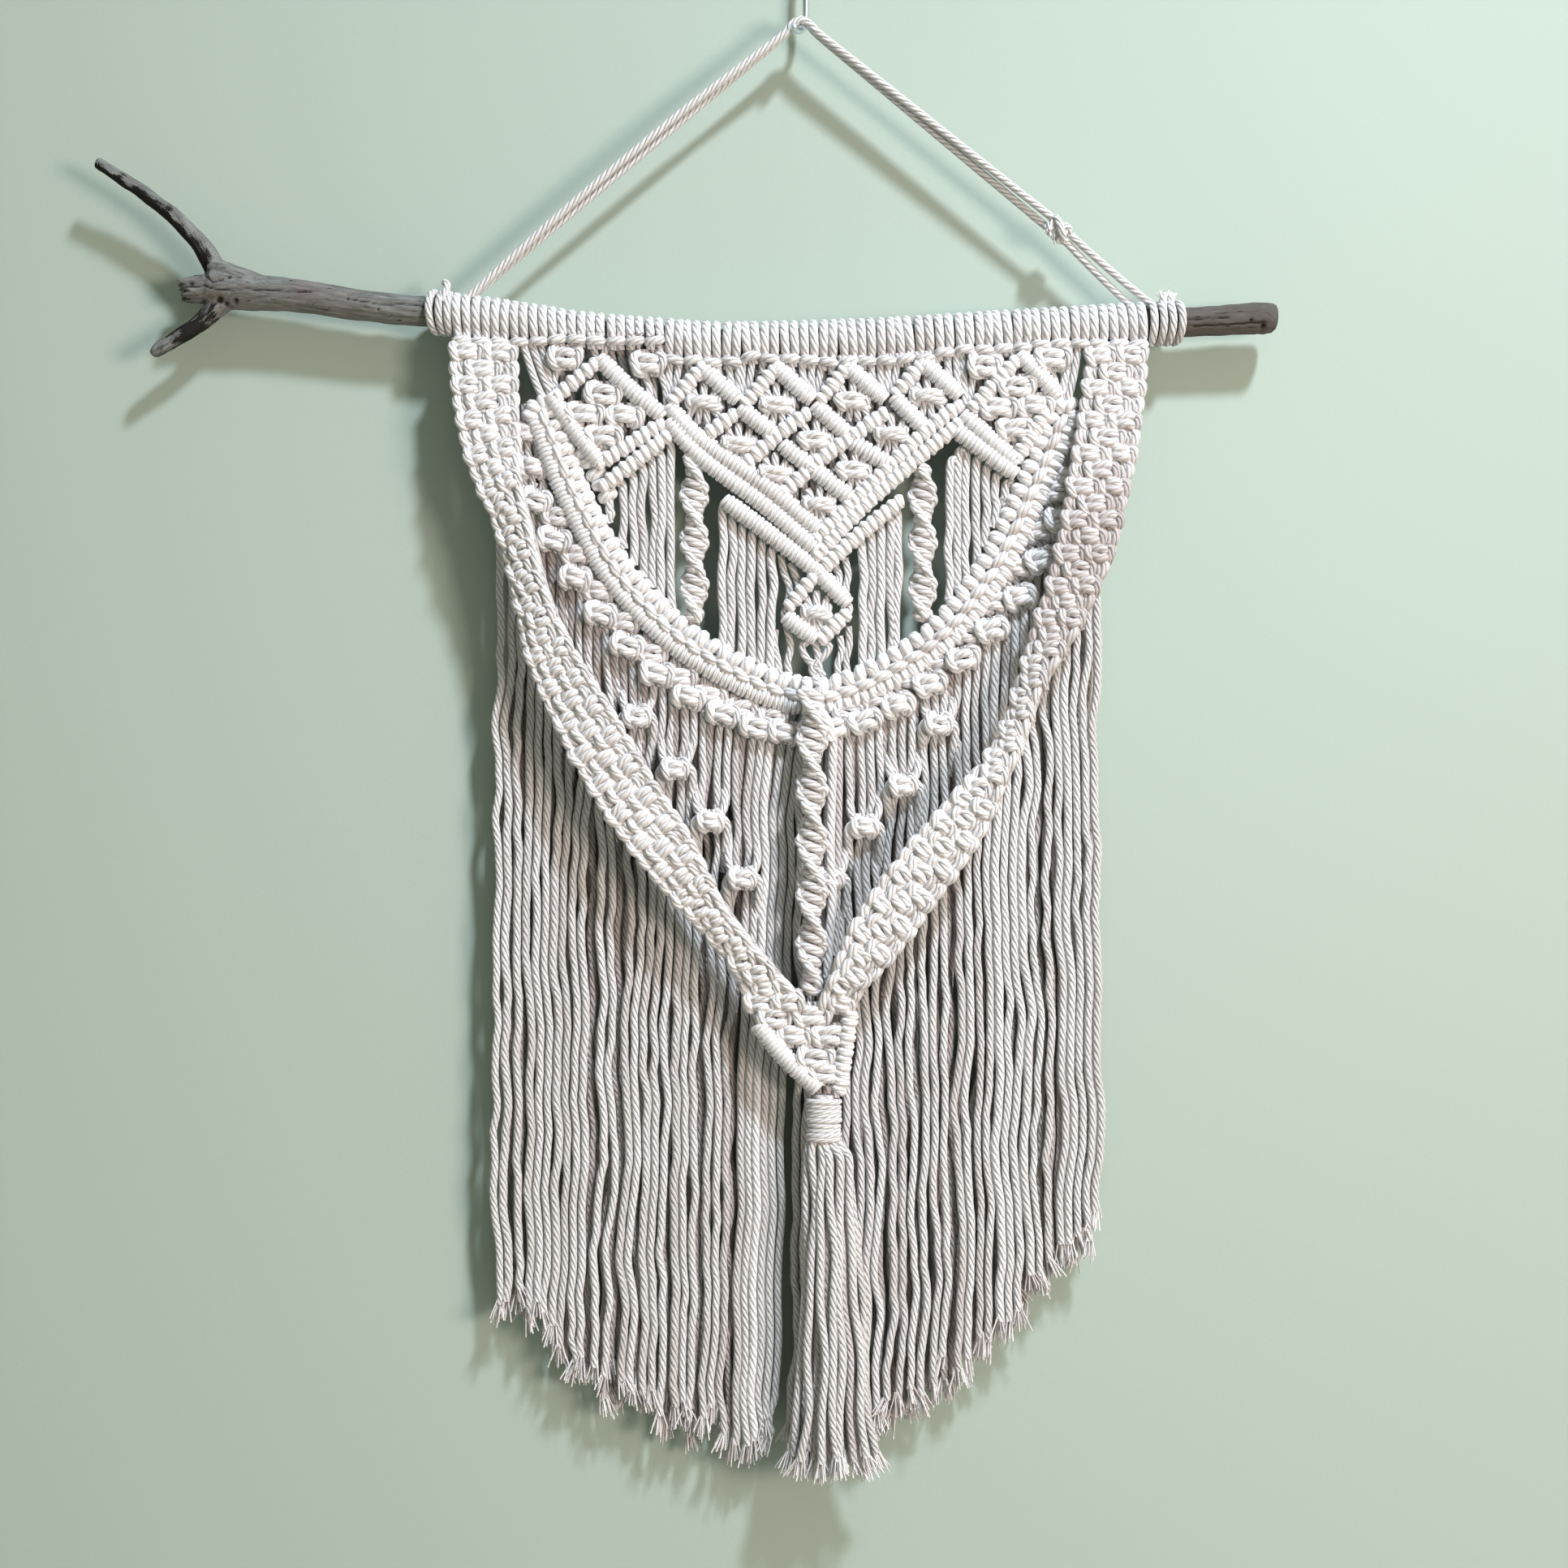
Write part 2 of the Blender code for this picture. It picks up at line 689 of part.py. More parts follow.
def build_smile(cotton):
    half = SMILE_WIDTH / 2
    profile = (
        (-half, 0.0),
        (-6.4, -3.4),
        (-3.2, -2.2),
        (0.0, -3.4),
        (2.0, -2.4),
        (5.6, -4.4),
        (half, 0.0),
        (7.5, 2.4),
        (-7.5, 2.4),
    )
    band("smile_band", smile_path(37), profile, SMILE_Y, cotton, taper=0.35)
    rows_half = ROWS_WIDTH / 2
    profile = (
        (-rows_half, 0.0),
        (-5.0, -2.8),
        (0.0, -1.5),
        (5.0, -2.8),
        (rows_half, 0.0),
        (7.0, 2.2),
        (-7.0, 2.2),
    )
    middle = offset_path(smile_path(61), half + GAP + rows_half)
    left = [p for p in middle if p[1] < ROWS_TOP and p[0] < ROWS_SPLIT - GAP]
    right = [p for p in middle if p[1] < ROWS_TOP and p[0] > ROWS_SPLIT + GAP]
    band("knot_rows_left", left, profile, ROWS_Y, cotton)
    band("knot_rows_right", right, profile, ROWS_Y, cotton)


def curtain(name, ends, cords, top, bottom, depth, colour, thick, gap, rows, slit_row, sway=0.0):
    """Hanging cords as one comb: a corrugated sheet, open between the cords below slit_row.

    ends gives the outer x at the top and at the bottom; top and bottom give heights at x;
    depth gives y at a distance below the top.
    """
    (left_top, right_top), (left_low, right_low) = ends
    points = []
    faces = []
    index = {}

    def add(key, point):
        index[key] = len(points)
        points.append(point)

    for i in range(cords):
        for k in range(rows + 1):
            part = k / rows
            ease = min(1.0, part * 2.5)
            ease = ease * ease * (3 - 2 * ease)
            left = left_top + (left_low - left_top) * ease
            pitch = (right_top - left_top) / cords
            pitch += ((right_low - left_low) / cords - pitch) * ease
            middle = left + pitch * (i + 0.5)
            half = (pitch - gap) / 2
            swing = sway * math.sin(7.5 * part + 0.33 * i) * min(1.0, 1.6 * part)
            swing += 0.5 * sway * math.sin(17.0 * part + 0.21 * i) * part
            end = left_low + (right_low - left_low) * (i + 0.5) / cords
            low = max(bottom(end - half), bottom(end + half)) + 0.9 * gap * math.sin(2.4 * i)
            for side, across, front in (
                ("l", -half, 0.55),
                ("m", 0.0, 1.0),
                ("r", half, 0.55),
            ):
                high = top(middle + across) if k == 0 else top(middle)
                height = high + (low - high) * part
                y = depth(high - height)
                x = middle + across + swing
                add((i, k, side, "f"), (x, y - front * thick / 2, height))
                add((i, k, side, "b"), (x, y + front * thick / 2, height))

    def quad(*keys):
        faces.append(tuple(index[key] for key in keys))

    for i in range(cords):
        for k in range(rows):
            for a, b in (("l", "m"), ("m", "r")):
                for face in "fb":
                    quad((i, k, a, face), (i, k, b, face), (i, k + 1, b, face), (i, k + 1, a, face))
            if i == 0 or k >= slit_row:
                quad((i, k, "l", "f"), (i, k, "l", "b"), (i, k + 1, "l", "b"), (i, k + 1, "l", "f"))
            if i == cords - 1 or k >= slit_row:
                quad((i, k, "r", "f"), (i, k, "r", "b"), (i, k + 1, "r", "b"), (i, k + 1, "r", "f"))
        for k in (0, rows):
            for a, b in (("l", "m"), ("m", "r")):
                quad((i, k, a, "f"), (i, k, b, "f"), (i, k, b, "b"), (i, k, a, "b"))
    for i in range(cords - 1):
        for k in range(slit_row):
            for face in "fb":
                quad(
                    (i, k, "r", face),
                    (i + 1, k, "l", face),
                    (i + 1, k + 1, "l", face),
                    (i, k + 1, "r", face),
                )
        for k in (0, slit_row):
            quad((i, k, "r", "f"), (i + 1, k, "l", "f"), (i + 1, k, "l", "b"), (i, k, "r", "b"))
    add_mesh(name, points, faces, colour)


def build_curtains(cotton):
    inner = offset_path(smile_path(91), -SMILE_WIDTH / 2 - 0.5)
    for name, ends, cords, edge in CURTAINS:
        curtain(
            name,
            (ends, ends),
            cords,
            lambda x, edge=edge: at_x(edge, x, 1) - 1.2,
            lambda x: curve_height(inner, x) + 0.6,
            lambda drop: CURTAIN_Y,
            cotton,
            CURTAIN_THICK,
            0.5,
            3,
            3,
        )


def build_fringe(cotton):
    reach = SMILE_WIDTH / 2 + GAP + ROWS_WIDTH + GAP + 0.15
    outer = offset_path(smile_path(121), reach)

    def depth(drop):
        ease = min(1.0, drop / 45.0)
        ease = ease * ease * (3 - 2 * ease)
        return FRINGE_TOP_Y + (FRINGE_Y - FRINGE_TOP_Y) * ease

    for name, ends, low in (
        ("fringe_left", ((-145.6, -9.0), (-146.2, -18.6)), FRINGE_ENDS_LEFT),
        ("fringe_right", ((-4.0, 136.0), (-7.2, 140.0)), FRINGE_ENDS_RIGHT),
    ):
        curtain(
            name,
            ends,
            round((ends[0][1] - ends[0][0]) / FRINGE_PITCH),
            lambda x: curve_height(outer, x),
            lambda x, low=low: at_x(low, x, 1),
            depth,
            cotton,
            FRINGE_THICK,
            FRINGE_SLIT,
            FRINGE_ROWS,
            FRINGE_SLIT_ROW,
            FRINGE_SWAY,
        )


def build_straps(cotton):
    """Each strap is a ribbon between two edges, thicker along its two ribs of knots."""
    profile = (
        (0.0, 0.0),
        (0.07, -0.75),
        (0.28, -1.0),
        (0.5, -0.8),
        (0.72, -1.0),
        (0.93, -0.75),
        (1.0, 0.0),
        (0.93, 0.75),
        (0.5, 0.9),
        (0.07, 0.75),
    )
    for name, table in (("strap_left", STRAP_LEFT), ("strap_right", STRAP_RIGHT)):
        first = list(table[0])
        first[2] = hang_height(first[0])
        first[5] = hang_height(first[3])
        rows = smooth([tuple(first), *table[1:]], STRAP_STATIONS)
        middles = [(Vector(row[:3]) + Vector(row[3:])) / 2 for row in rows]
        rings = []
        for k, row in enumerate(rows):
            left, right = Vector(row[:3]), Vector(row[3:])
            ahead = middles[min(k + 1, len(rows) - 1)]
            behind = middles[max(k - 1, 0)]
            back = (right - left).cross(ahead - behind).normalized()
            if k in (0, len(rows) - 1):
                back.z = 0.0
                back.normalize()
            rings.append(
                [left.lerp(right, u) + back * (lift * STRAP_THICK / 2) for u, lift in profile]
            )
        loft(name, rings, cotton)


def build_spirals(cotton):
    inner = offset_path(smile_path(91), -SMILE_WIDTH / 2 - 0.5)
    for name, (x, y, top, bottom, half, pitch) in SPIRALS.items():
        if name != "centre_sinnet":
            bottom = max(curve_height(inner, x + side * half * 0.6) for side in (-1, 1)) + 0.2
        count = round((top - bottom) / 3.3)
        rings = []
        for k in range(count + 1):
            z = top + (bottom - top) * k / count
            end = min(top - z, z - bottom)
            scale = min(1.0, 0.55 + 0.45 * end / 5.0)
            turn = math.pi * (top - z) / pitch
            ring = []
            for i in range(8):
                a = math.tau * i / 8
                u = half * scale * math.cos(a)
                v = half * scale * SPIRAL_FLATNESS * math.sin(a)
                ring.append(
                    (
                        x + u * math.cos(turn) - v * math.sin(turn),
                        y + u * math.sin(turn) + v * math.cos(turn),
                        z,
                    )
                )
            rings.append(ring)
        loft(name, rings, cotton)


def build_arrow(cotton):
    outline = [(x, ARROW_TOP + drop) for x, drop in ARROW]
    (left, top_left), (_, _), (tip_left, tip), (tip_right, _), (right, top_right) = outline
    hole = diamond_hole(*ARROW_HOLE[0], ARROW_HOLE[1])
    panel(
        "arrow",
        outline,
        cotton,
        [hole],
        [
            (left + 4.0, top_left - 6.5, tip_left + 3.4, tip + 5.0),
            (right - 3.2, top_right - 4.5, tip_right - 2.2, tip + 5.0),
        ],
        y=ARROW_Y,
    )
    x, top, bottom = WRAP_BAND
    half, deep = WRAP_BAND_HALF
    rings = []
    steps = 2 * WRAP_BAND_TURNS
    for k in range(steps + 1):
        swell = 0.0 if k % 2 == 0 else 0.5
        z = top + (bottom - top) * k / steps
        rings.append(
            [
                (
                    x + (half - 0.4 + swell) * math.cos(math.tau * i / 12),
                    ARROW_Y + (deep - 0.4 + swell) * math.sin(math.tau * i / 12),
                    z,
                )
                for i in range(12)
            ]
        )
    loft("gathering_wrap", rings, cotton)


def build_tassel(cotton):
    """A fluted bundle whose lower edge is ragged, with a hollow under its middle."""
    sides = 2 * TASSEL_LOBES
    points = []
    rows = smooth(TASSEL, 13)
    for k, (z, x, half, deep) in enumerate(rows):
        part = k / (len(rows) - 1)
        for i in range(sides):
            turn = math.tau * i / sides
            flute = 1.0 if i % 2 == 0 else 1.0 - 0.16 * min(1.0, 3 * part)
            ragged = TASSEL_RAGGED * math.sin(2.7 * i) * max(0.0, part - 0.8) / 0.2
            points.append(
                (
                    x + half * flute * math.cos(turn),
                    TASSEL_Y + deep * flute * math.sin(turn),
                    z + ragged,
                )
            )
    faces = [tuple(range(sides))]
    for k in range(len(rows) - 1):
        for i in range(sides):
            a = k * sides + i
            b = k * sides + (i + 1) % sides
            faces.append((a, b, b + sides, a + sides))
    hollow = len(points)
    points.append((rows[-1][1], TASSEL_Y, rows[-1][0] + 4.0))
    last = sides * (len(rows) - 1)
    for i in range(sides):
        faces.append((last + i, last + (i + 1) % sides, hollow))
    add_mesh("tassel", points, faces, cotton)


def main():
    for old in list(bpy.data.objects):
        bpy.data.objects.remove(old)
    cotton = material("cotton_cord", (0.80, 0.76, 0.70), 0.9)
    wood = material("driftwood", (0.20, 0.17, 0.155), 0.75)
    steel = material("steel_wire", (0.62, 0.63, 0.64), 0.25, 1.0)
    build_branch(wood)
    build_wraps(cotton)
    build_hanger(cotton, steel)
    build_panels(cotton)
    build_smile(cotton)
    build_curtains(cotton)
    build_spirals(cotton)
    build_fringe(cotton)
    build_straps(cotton)
    build_arrow(cotton)
    build_tassel(cotton)


SMOOTH_STEM = smooth(STEM, 240)
main()
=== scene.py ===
import math

import bpy
import numpy as np
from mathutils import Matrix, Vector, noise
from mathutils.kdtree import KDTree


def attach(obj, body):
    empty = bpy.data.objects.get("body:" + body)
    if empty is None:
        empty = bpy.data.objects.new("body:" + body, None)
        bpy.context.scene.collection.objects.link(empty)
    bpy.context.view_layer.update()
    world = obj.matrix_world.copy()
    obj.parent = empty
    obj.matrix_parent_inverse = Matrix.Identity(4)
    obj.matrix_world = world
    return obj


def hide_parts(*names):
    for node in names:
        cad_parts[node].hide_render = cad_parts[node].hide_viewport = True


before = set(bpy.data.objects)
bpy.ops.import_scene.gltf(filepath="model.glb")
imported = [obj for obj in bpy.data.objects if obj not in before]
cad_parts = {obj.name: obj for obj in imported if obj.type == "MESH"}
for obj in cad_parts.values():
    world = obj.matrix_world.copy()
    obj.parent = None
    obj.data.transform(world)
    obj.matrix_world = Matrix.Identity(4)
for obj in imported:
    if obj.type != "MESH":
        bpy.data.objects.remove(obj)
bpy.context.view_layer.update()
scene = bpy.context.scene
mm = 0.001
towardsRoom = (0.0, -1.0, 0.0)
print("frame loaded")


def linear(hexColour):
    # sRGB hex to linear RGBA
    parts = [int(hexColour[k:k + 2], 16) / 255 for k in (1, 3, 5)]
    return tuple(c / 12.92 if c <= 0.04045 else ((c + 0.055) / 1.055) ** 2.4 for c in parts) + (1.0,)


def feed(tree, node, inputs):
    # inputs, by name or number, take a value, another node's socket, or a node for its first output
    for name, value in inputs.items():
        if isinstance(value, bpy.types.Node):
            value = value.outputs[0]
        if isinstance(value, bpy.types.NodeSocket):
            tree.links.new(value, node.inputs[name])
        else:
            node.inputs[name].default_value = value
    return node


def addNode(tree, kind, inputs=None, **properties):
    node = tree.nodes.new(kind)
    for name, value in properties.items():
        setattr(node, name, value)
    return feed(tree, node, inputs or {})


def maths(tree, operation, *values, **properties):
    return addNode(tree, "ShaderNodeMath", dict(enumerate(values)), operation=operation, **properties)


def readValue(tree, name, output="Fac"):
    # a value that was left on the mesh's points
    return addNode(tree, "ShaderNodeAttribute", attribute_name=name).outputs[output]


def rescale(tree, value, low, high, toLow=0.0, toHigh=1.0):
    return addNode(tree, "ShaderNodeMapRange", {
        "Value": value, "From Min": low, "From Max": high, "To Min": toLow, "To Max": toHigh})


def noiseOn(tree, place, scale, detail, roughness=0.5):
    return addNode(tree, "ShaderNodeTexNoise", {
        "Vector": place, "Scale": scale, "Detail": detail, "Roughness": roughness})


def blend(tree, amount, first, second, kind="MIX"):
    # colour A and colour B are the mix node's inputs 6 and 7, and its colour comes out of output 2
    inputs = {0: amount, 6: first, 7: second}
    return addNode(tree, "ShaderNodeMix", inputs, data_type="RGBA", blend_type=kind).outputs[2]


def newMaterial(name):
    made = bpy.data.materials.new(name)
    made.use_nodes = True
    return made, made.node_tree, made.node_tree.nodes["Principled BSDF"]


def newObject(name, data):
    made = bpy.data.objects.new(name, data)
    scene.collection.objects.link(made)
    return made


def smoothPath(points, steps):
    # a smooth curve through the points, with that many steps to each span
    p = np.asarray(points, float)
    padded = np.vstack([2 * p[0] - p[1], p, 2 * p[-1] - p[-2]])
    t = np.linspace(0, 1, steps, endpoint=False)[:, None]
    out = []
    for i in range(len(p) - 1):
        a, b, c, d = padded[i:i + 4]
        square, cube = 2 * a - 5 * b + 4 * c - d, 3 * b - a - 3 * c + d
        out.append(0.5 * (2 * b + (c - a) * t + square * t ** 2 + cube * t ** 3))
    return np.vstack(out + [p[-1:]])


def lengths(points):
    # the distance along a path at each of its points
    steps = np.linalg.norm(np.diff(points, axis=0), axis=1)
    return np.concatenate([[0.0], np.cumsum(steps)])


def pointAt(path, s, d):
    # the point, or points, d along a path whose lengths are s
    return np.stack([np.interp(d, s, path[:, k]) for k in range(path.shape[1])], axis=-1)


def evenPath(points, spacing):
    # the same path with evenly spaced points
    s = lengths(points)
    count = max(2, int(round(s[-1] / spacing)) + 1)
    return pointAt(points, s, np.linspace(0, s[-1], count))


def onPanel(line, y):
    # a line of x, z laid in the plane y
    flat = np.asarray(line, float)
    return np.column_stack([flat[:, 0], np.full(len(flat), y), flat[:, 1]])


def cord(points, radius=1.95, shade=0.1, steps=2):
    # one cord along points in mm; shade runs from 0, bleached, to 1, dull and shaded: it holds each cord's
    # own tone and the painted shade of cords that lie behind, inside or turned away
    path = smoothPath(points, steps) if steps > 1 else np.asarray(points, float)
    return {"path": path, "radius": radius, "shade": shade}


def cordTree(name, placed):
    # sweeps a round cord along every line of the mesh; placed first sets a knot's lines on each point
    tree = bpy.data.node_groups.new(name, "GeometryNodeTree")
    wanted = [("Geometry", "Geometry"), ("Sides", "Int"), ("Finish", "Material")]
    wanted += [("Knot", "Object"), ("Uneven", "Float"), ("Seed", "Int")] if placed else []
    for label, kind in wanted:
        tree.interface.new_socket(label, in_out="INPUT", socket_type="NodeSocket" + kind)
    tree.interface.new_socket("Geometry", in_out="OUTPUT", socket_type="NodeSocketGeometry")
    given = tree.nodes.new("NodeGroupInput").outputs

    def read(label, kind="FLOAT_VECTOR"):
        return addNode(tree, "GeometryNodeInputNamedAttribute", {"Name": label}, data_type=kind)

    def store(label, kind, geometry, value):
        return addNode(tree, "GeometryNodeStoreNamedAttribute",
                       {"Geometry": geometry, "Name": label, "Value": value}, data_type=kind, domain="POINT")

    lines = given["Geometry"]
    if placed:
        turn = addNode(tree, "FunctionNodeAxesToRotation", {0: read("outward"), 1: read("across")},
                       primary_axis="Z", secondary_axis="X")
        low = maths(tree, "SUBTRACT", 1.0, given["Uneven"])
        high = maths(tree, "ADD", 1.0, given["Uneven"])
        vary = addNode(tree, "FunctionNodeRandomValue", {0: low, 1: high, "Seed": given["Seed"]},
                       data_type="FLOAT_VECTOR")
        size = addNode(tree, "ShaderNodeVectorMath", {0: read("size"), 1: vary}, operation="MULTIPLY")
        knot = addNode(tree, "GeometryNodeObjectInfo", {"Object": given["Knot"]}).outputs["Geometry"]
        sown = addNode(tree, "GeometryNodeInstanceOnPoints",
                       {"Points": lines, "Instance": knot, "Rotation": turn, "Scale": size})
        lines = addNode(tree, "GeometryNodeRealizeInstances", {0: sown})
    curve = addNode(tree, "GeometryNodeMeshToCurve", {"Mesh": lines})
    distance = addNode(tree, "GeometryNodeSplineParameter").outputs["Length"]
    along = store("along", "FLOAT", curve, distance)
    ring = addNode(tree, "GeometryNodeCurvePrimitiveCircle", {"Radius": 1.0, "Resolution": given["Sides"]})
    around = store("around", "FLOAT_VECTOR", ring, addNode(tree, "GeometryNodeInputPosition"))
    swept = addNode(tree, "GeometryNodeCurveToMesh", {
        "Curve": along, "Profile Curve": around, "Scale": read("cordRadius", "FLOAT"), "Fill Caps": True})
    rounded = addNode(tree, "GeometryNodeSetShadeSmooth", {0: swept})
    dressed = addNode(tree, "GeometryNodeSetMaterial", {0: rounded, "Material": given["Finish"]})
    addNode(tree, "NodeGroupOutput", {0: dressed})
    return tree


def setAttribute(mesh, name, values):
    # one number, or one vector, for each vertex
    values = np.asarray(values, np.float32)
    kind, key = ("FLOAT", "value") if values.ndim == 1 else ("FLOAT_VECTOR", "vector")
    mesh.attributes.new(name, kind, "POINT").data.foreach_set(key, values.ravel())


def lineMesh(name, cords):
    # the cords' centrelines as one mesh of edges, with each one's radius, shade and seed
    counts = [len(c["path"]) for c in cords]
    points = np.vstack([c["path"] for c in cords]) * mm
    starts = np.concatenate([[0], np.cumsum(counts)[:-1]])
    edges = np.vstack([np.column_stack([np.arange(n - 1), np.arange(1, n)]) + first
                       for n, first in zip(counts, starts)])
    mesh = bpy.data.meshes.new(name)
    mesh.from_pydata(points.tolist(), edges.tolist(), [])
    seeds = (np.arange(len(cords)) * 0.618) % 1
    radii = np.concatenate([np.broadcast_to(c["radius"], n) for c, n in zip(cords, counts)]) * mm
    setAttribute(mesh, "cordRadius", radii)
    setAttribute(mesh, "seed", np.repeat(seeds, counts))
    if cords[0]["shade"] is not None:
        setAttribute(mesh, "shade", np.repeat([c["shade"] for c in cords], counts))
    return newObject(name, mesh)


def pointMesh(name, places):
    # places are (point, across, outward, size, shade), in mm
    mesh = bpy.data.meshes.new(name)
    mesh.from_pydata([tuple(np.asarray(p[0]) * mm) for p in places], [], [])
    for k, label in ((1, "across"), (2, "outward"), (3, "size"), (4, "shade")):
        setAttribute(mesh, label, [p[k] for p in places])
    return newObject(name, mesh)


def ranMesh(source):
    # the plain mesh that the source's modifiers make; the source itself goes
    bpy.context.view_layer.update()
    mesh = bpy.data.meshes.new_from_object(source.evaluated_get(bpy.context.evaluated_depsgraph_get()))
    bpy.data.objects.remove(source)
    return mesh


def bake(source, tree, values, name):
    # runs the tree on the source and keeps what it makes
    modifier = source.modifiers.new("Cords", "NODES")
    modifier.node_group = tree
    for item in tree.interface.items_tree:
        if item.in_out == "INPUT" and item.name in values:
            modifier[item.identifier] = values[item.name]
    mesh = ranMesh(source)
    mesh.name = name
    return newObject(name, mesh)


def sweepCords(name, cords, sides=6, finish=None):
    lines = lineMesh(name + "Lines", cords)
    return bake(lines, sweepTree, {"Sides": sides, "Finish": finish or cotton}, name)


def tieKnots(name, shapes, places, sides=6, uneven=0.04, seed=1):
    # the shapes' cords on every place, each shape on its own share of the places
    made = []
    for k, shape in enumerate(shapes):
        own = places[k::len(shapes)]
        values = {"Sides": sides, "Finish": cotton, "Knot": shape, "Uneven": uneven, "Seed": seed + k}
        if own:
            made.append(bake(pointMesh(name + "Places", own), knotTree, values, name + str(k)))
    return made


def finishPiece(name, parts, nodes):
    # joins the parts into one piece that stands for those CAD nodes
    target = parts[0]
    if len(parts) > 1:
        with bpy.context.temp_override(active_object=target, selected_objects=parts,
                                       selected_editable_objects=parts):
            bpy.ops.object.join()
    target.name = name
    target.data.name = name
    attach(target, "root")
    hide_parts(*nodes)
    print(name, len(target.data.polygons), "faces")


view = {"standOff": 1.2, "middle": (-10.3, -389.9), "across": 734.0, "planeY": -20.0, "sensor": 36.0}
camera = newObject("camera", bpy.data.cameras.new("camera"))
camera.data.sensor_width = view["sensor"]
camera.data.lens = view["sensor"] * (view["standOff"] * 1000 + view["planeY"]) / view["across"]
camera.data.clip_start = 0.05
camera.location = (view["middle"][0] * mm, -view["standOff"], view["middle"][1] * mm)
camera.rotation_euler = (math.radians(90), 0, 0)
scene.camera = camera


def cottonCord(name, look):
    # single-twist natural cotton: matt, soft, with slanting ridges and fine fibres that follow the twist
    made, tree, shader = newMaterial(name)
    along, seed = readValue(tree, "along"), readValue(tree, "seed")
    place = addNode(tree, "ShaderNodeTexCoord").outputs["Object"]
    turn = maths(tree, "MULTIPLY_ADD", along, math.tau / (look["twist"] * mm), seed)
    turned = addNode(tree, "ShaderNodeVectorRotate",
                     {"Vector": readValue(tree, "around", "Vector"), "Angle": turn}, rotation_type="Z_AXIS")
    x, y, z = addNode(tree, "ShaderNodeSeparateXYZ", {0: turned}).outputs
    wander = maths(tree, "MULTIPLY", noiseOn(tree, place, 260.0, 1.0), look["wander"])
    phase = maths(tree, "MULTIPLY_ADD", maths(tree, "ARCTAN2", y, x), look["ridges"] / 2, wander)
    ridge = maths(tree, "ABSOLUTE", maths(tree, "SINE", phase))
    # fibres 0.25 mm across, long along the ridges
    apart = maths(tree, "MULTIPLY_ADD", seed, 37.0, maths(tree, "MULTIPLY", along, 160.0))
    fibreAt = addNode(tree, "ShaderNodeCombineXYZ", {"X": x, "Y": y, "Z": apart})
    fibres = noiseOn(tree, fibreAt, 7.0, 3.0, 0.65)
    height = maths(tree, "MULTIPLY_ADD", fibres, look["fibreHeight"], ridge)
    # thin yarns, and the thin turns pulled tight on a bar, show less of the twist
    thick = readValue(tree, "cordRadius")
    slack = rescale(tree, thick, 0.8 * mm, 1.7 * mm, 0.2, 1.0)
    pulled = rescale(tree, thick, 2.12 * mm, 2.35 * mm, 1.0, 0.6)
    relief = maths(tree, "MULTIPLY", slack, pulled)
    bump = addNode(tree, "ShaderNodeBump",
                   {"Height": height, "Strength": relief, "Distance": look["ridgeHeight"] * mm})
    # each cord's own tone with patches and the painted shade that the shade value carries, then painted shade
    # in the grooves of the twist
    tone = maths(tree, "ADD", readValue(tree, "shade"), maths(tree, "MULTIPLY_ADD", seed, 0.35, -0.17))
    patchy = maths(tree, "MULTIPLY_ADD", noiseOn(tree, place, 28.0, 2.0), 0.6, -0.3)
    tone = maths(tree, "ADD", tone, patchy, use_clamp=True)
    body = blend(tree, tone, linear(look["bleached"]), linear(look["dullAndShaded"]))
    # painted shade: the grooves of the twist are painted darker, less on thin cords
    shadeDepthInGrooves = maths(tree, "MULTIPLY_ADD", relief, look["grooveShade"] - 1, 1.0)
    paintedGrooveShade = rescale(tree, ridge, 0.03, 0.5, shadeDepthInGrooves, 1.0)
    fleck = rescale(tree, fibres, 0.3, 0.7, 0.9, 1.04)
    bodyShadedInGrooves = blend(tree, 1.0, body, maths(tree, "MULTIPLY", paintedGrooveShade, fleck), "MULTIPLY")
    feed(tree, shader, {"Base Color": bodyShadedInGrooves, "Normal": bump, "Roughness": 0.92,
                        "Specular IOR Level": 0.25, "Sheen Weight": 0.25, "Sheen Roughness": 0.45})
    return made


# the second colour is both that of duller cords and that of painted shade
cottonLook = {"twist": 20.0, "ridges": 5, "ridgeHeight": 0.86, "fibreHeight": 0.65, "grooveShade": 0.45,
              "wander": 1.6, "bleached": "#f6f5f9", "dullAndShaded": "#beb4b4"}
cotton = cottonCord("Natural cotton cord, single twist", cottonLook)
sweepTree = cordTree("Cord along a path", False)
knotTree = cordTree("Knots on points", True)
rng = np.random.default_rng(7)


stem = np.array([(-286.0, -155.4, 6.6), (-280.0, -156.0, 8.8), (-265.0, -158.5, 8.7), (-238.6, -160.7, 7.7),
        (-204.4, -165.7, 7.2), (-171.8, -168.7, 7.0), (-127.0, -174.8, 6.8), (-106.0, -178.2, 6.8),
        (-69.0, -181.3, 6.8), (-36.0, -183.2, 6.8), (29.0, -181.6, 6.8), (93.0, -177.8, 6.8),
        (157.0, -174.2, 6.8), (175.0, -173.3, 6.9), (221.2, -170.8, 7.3)])
stemY = -16.0
stemLine = smoothPath(stem, 16)


def stemHeight(x):
    return float(np.interp(x, stemLine[:, 0], stemLine[:, 1]))


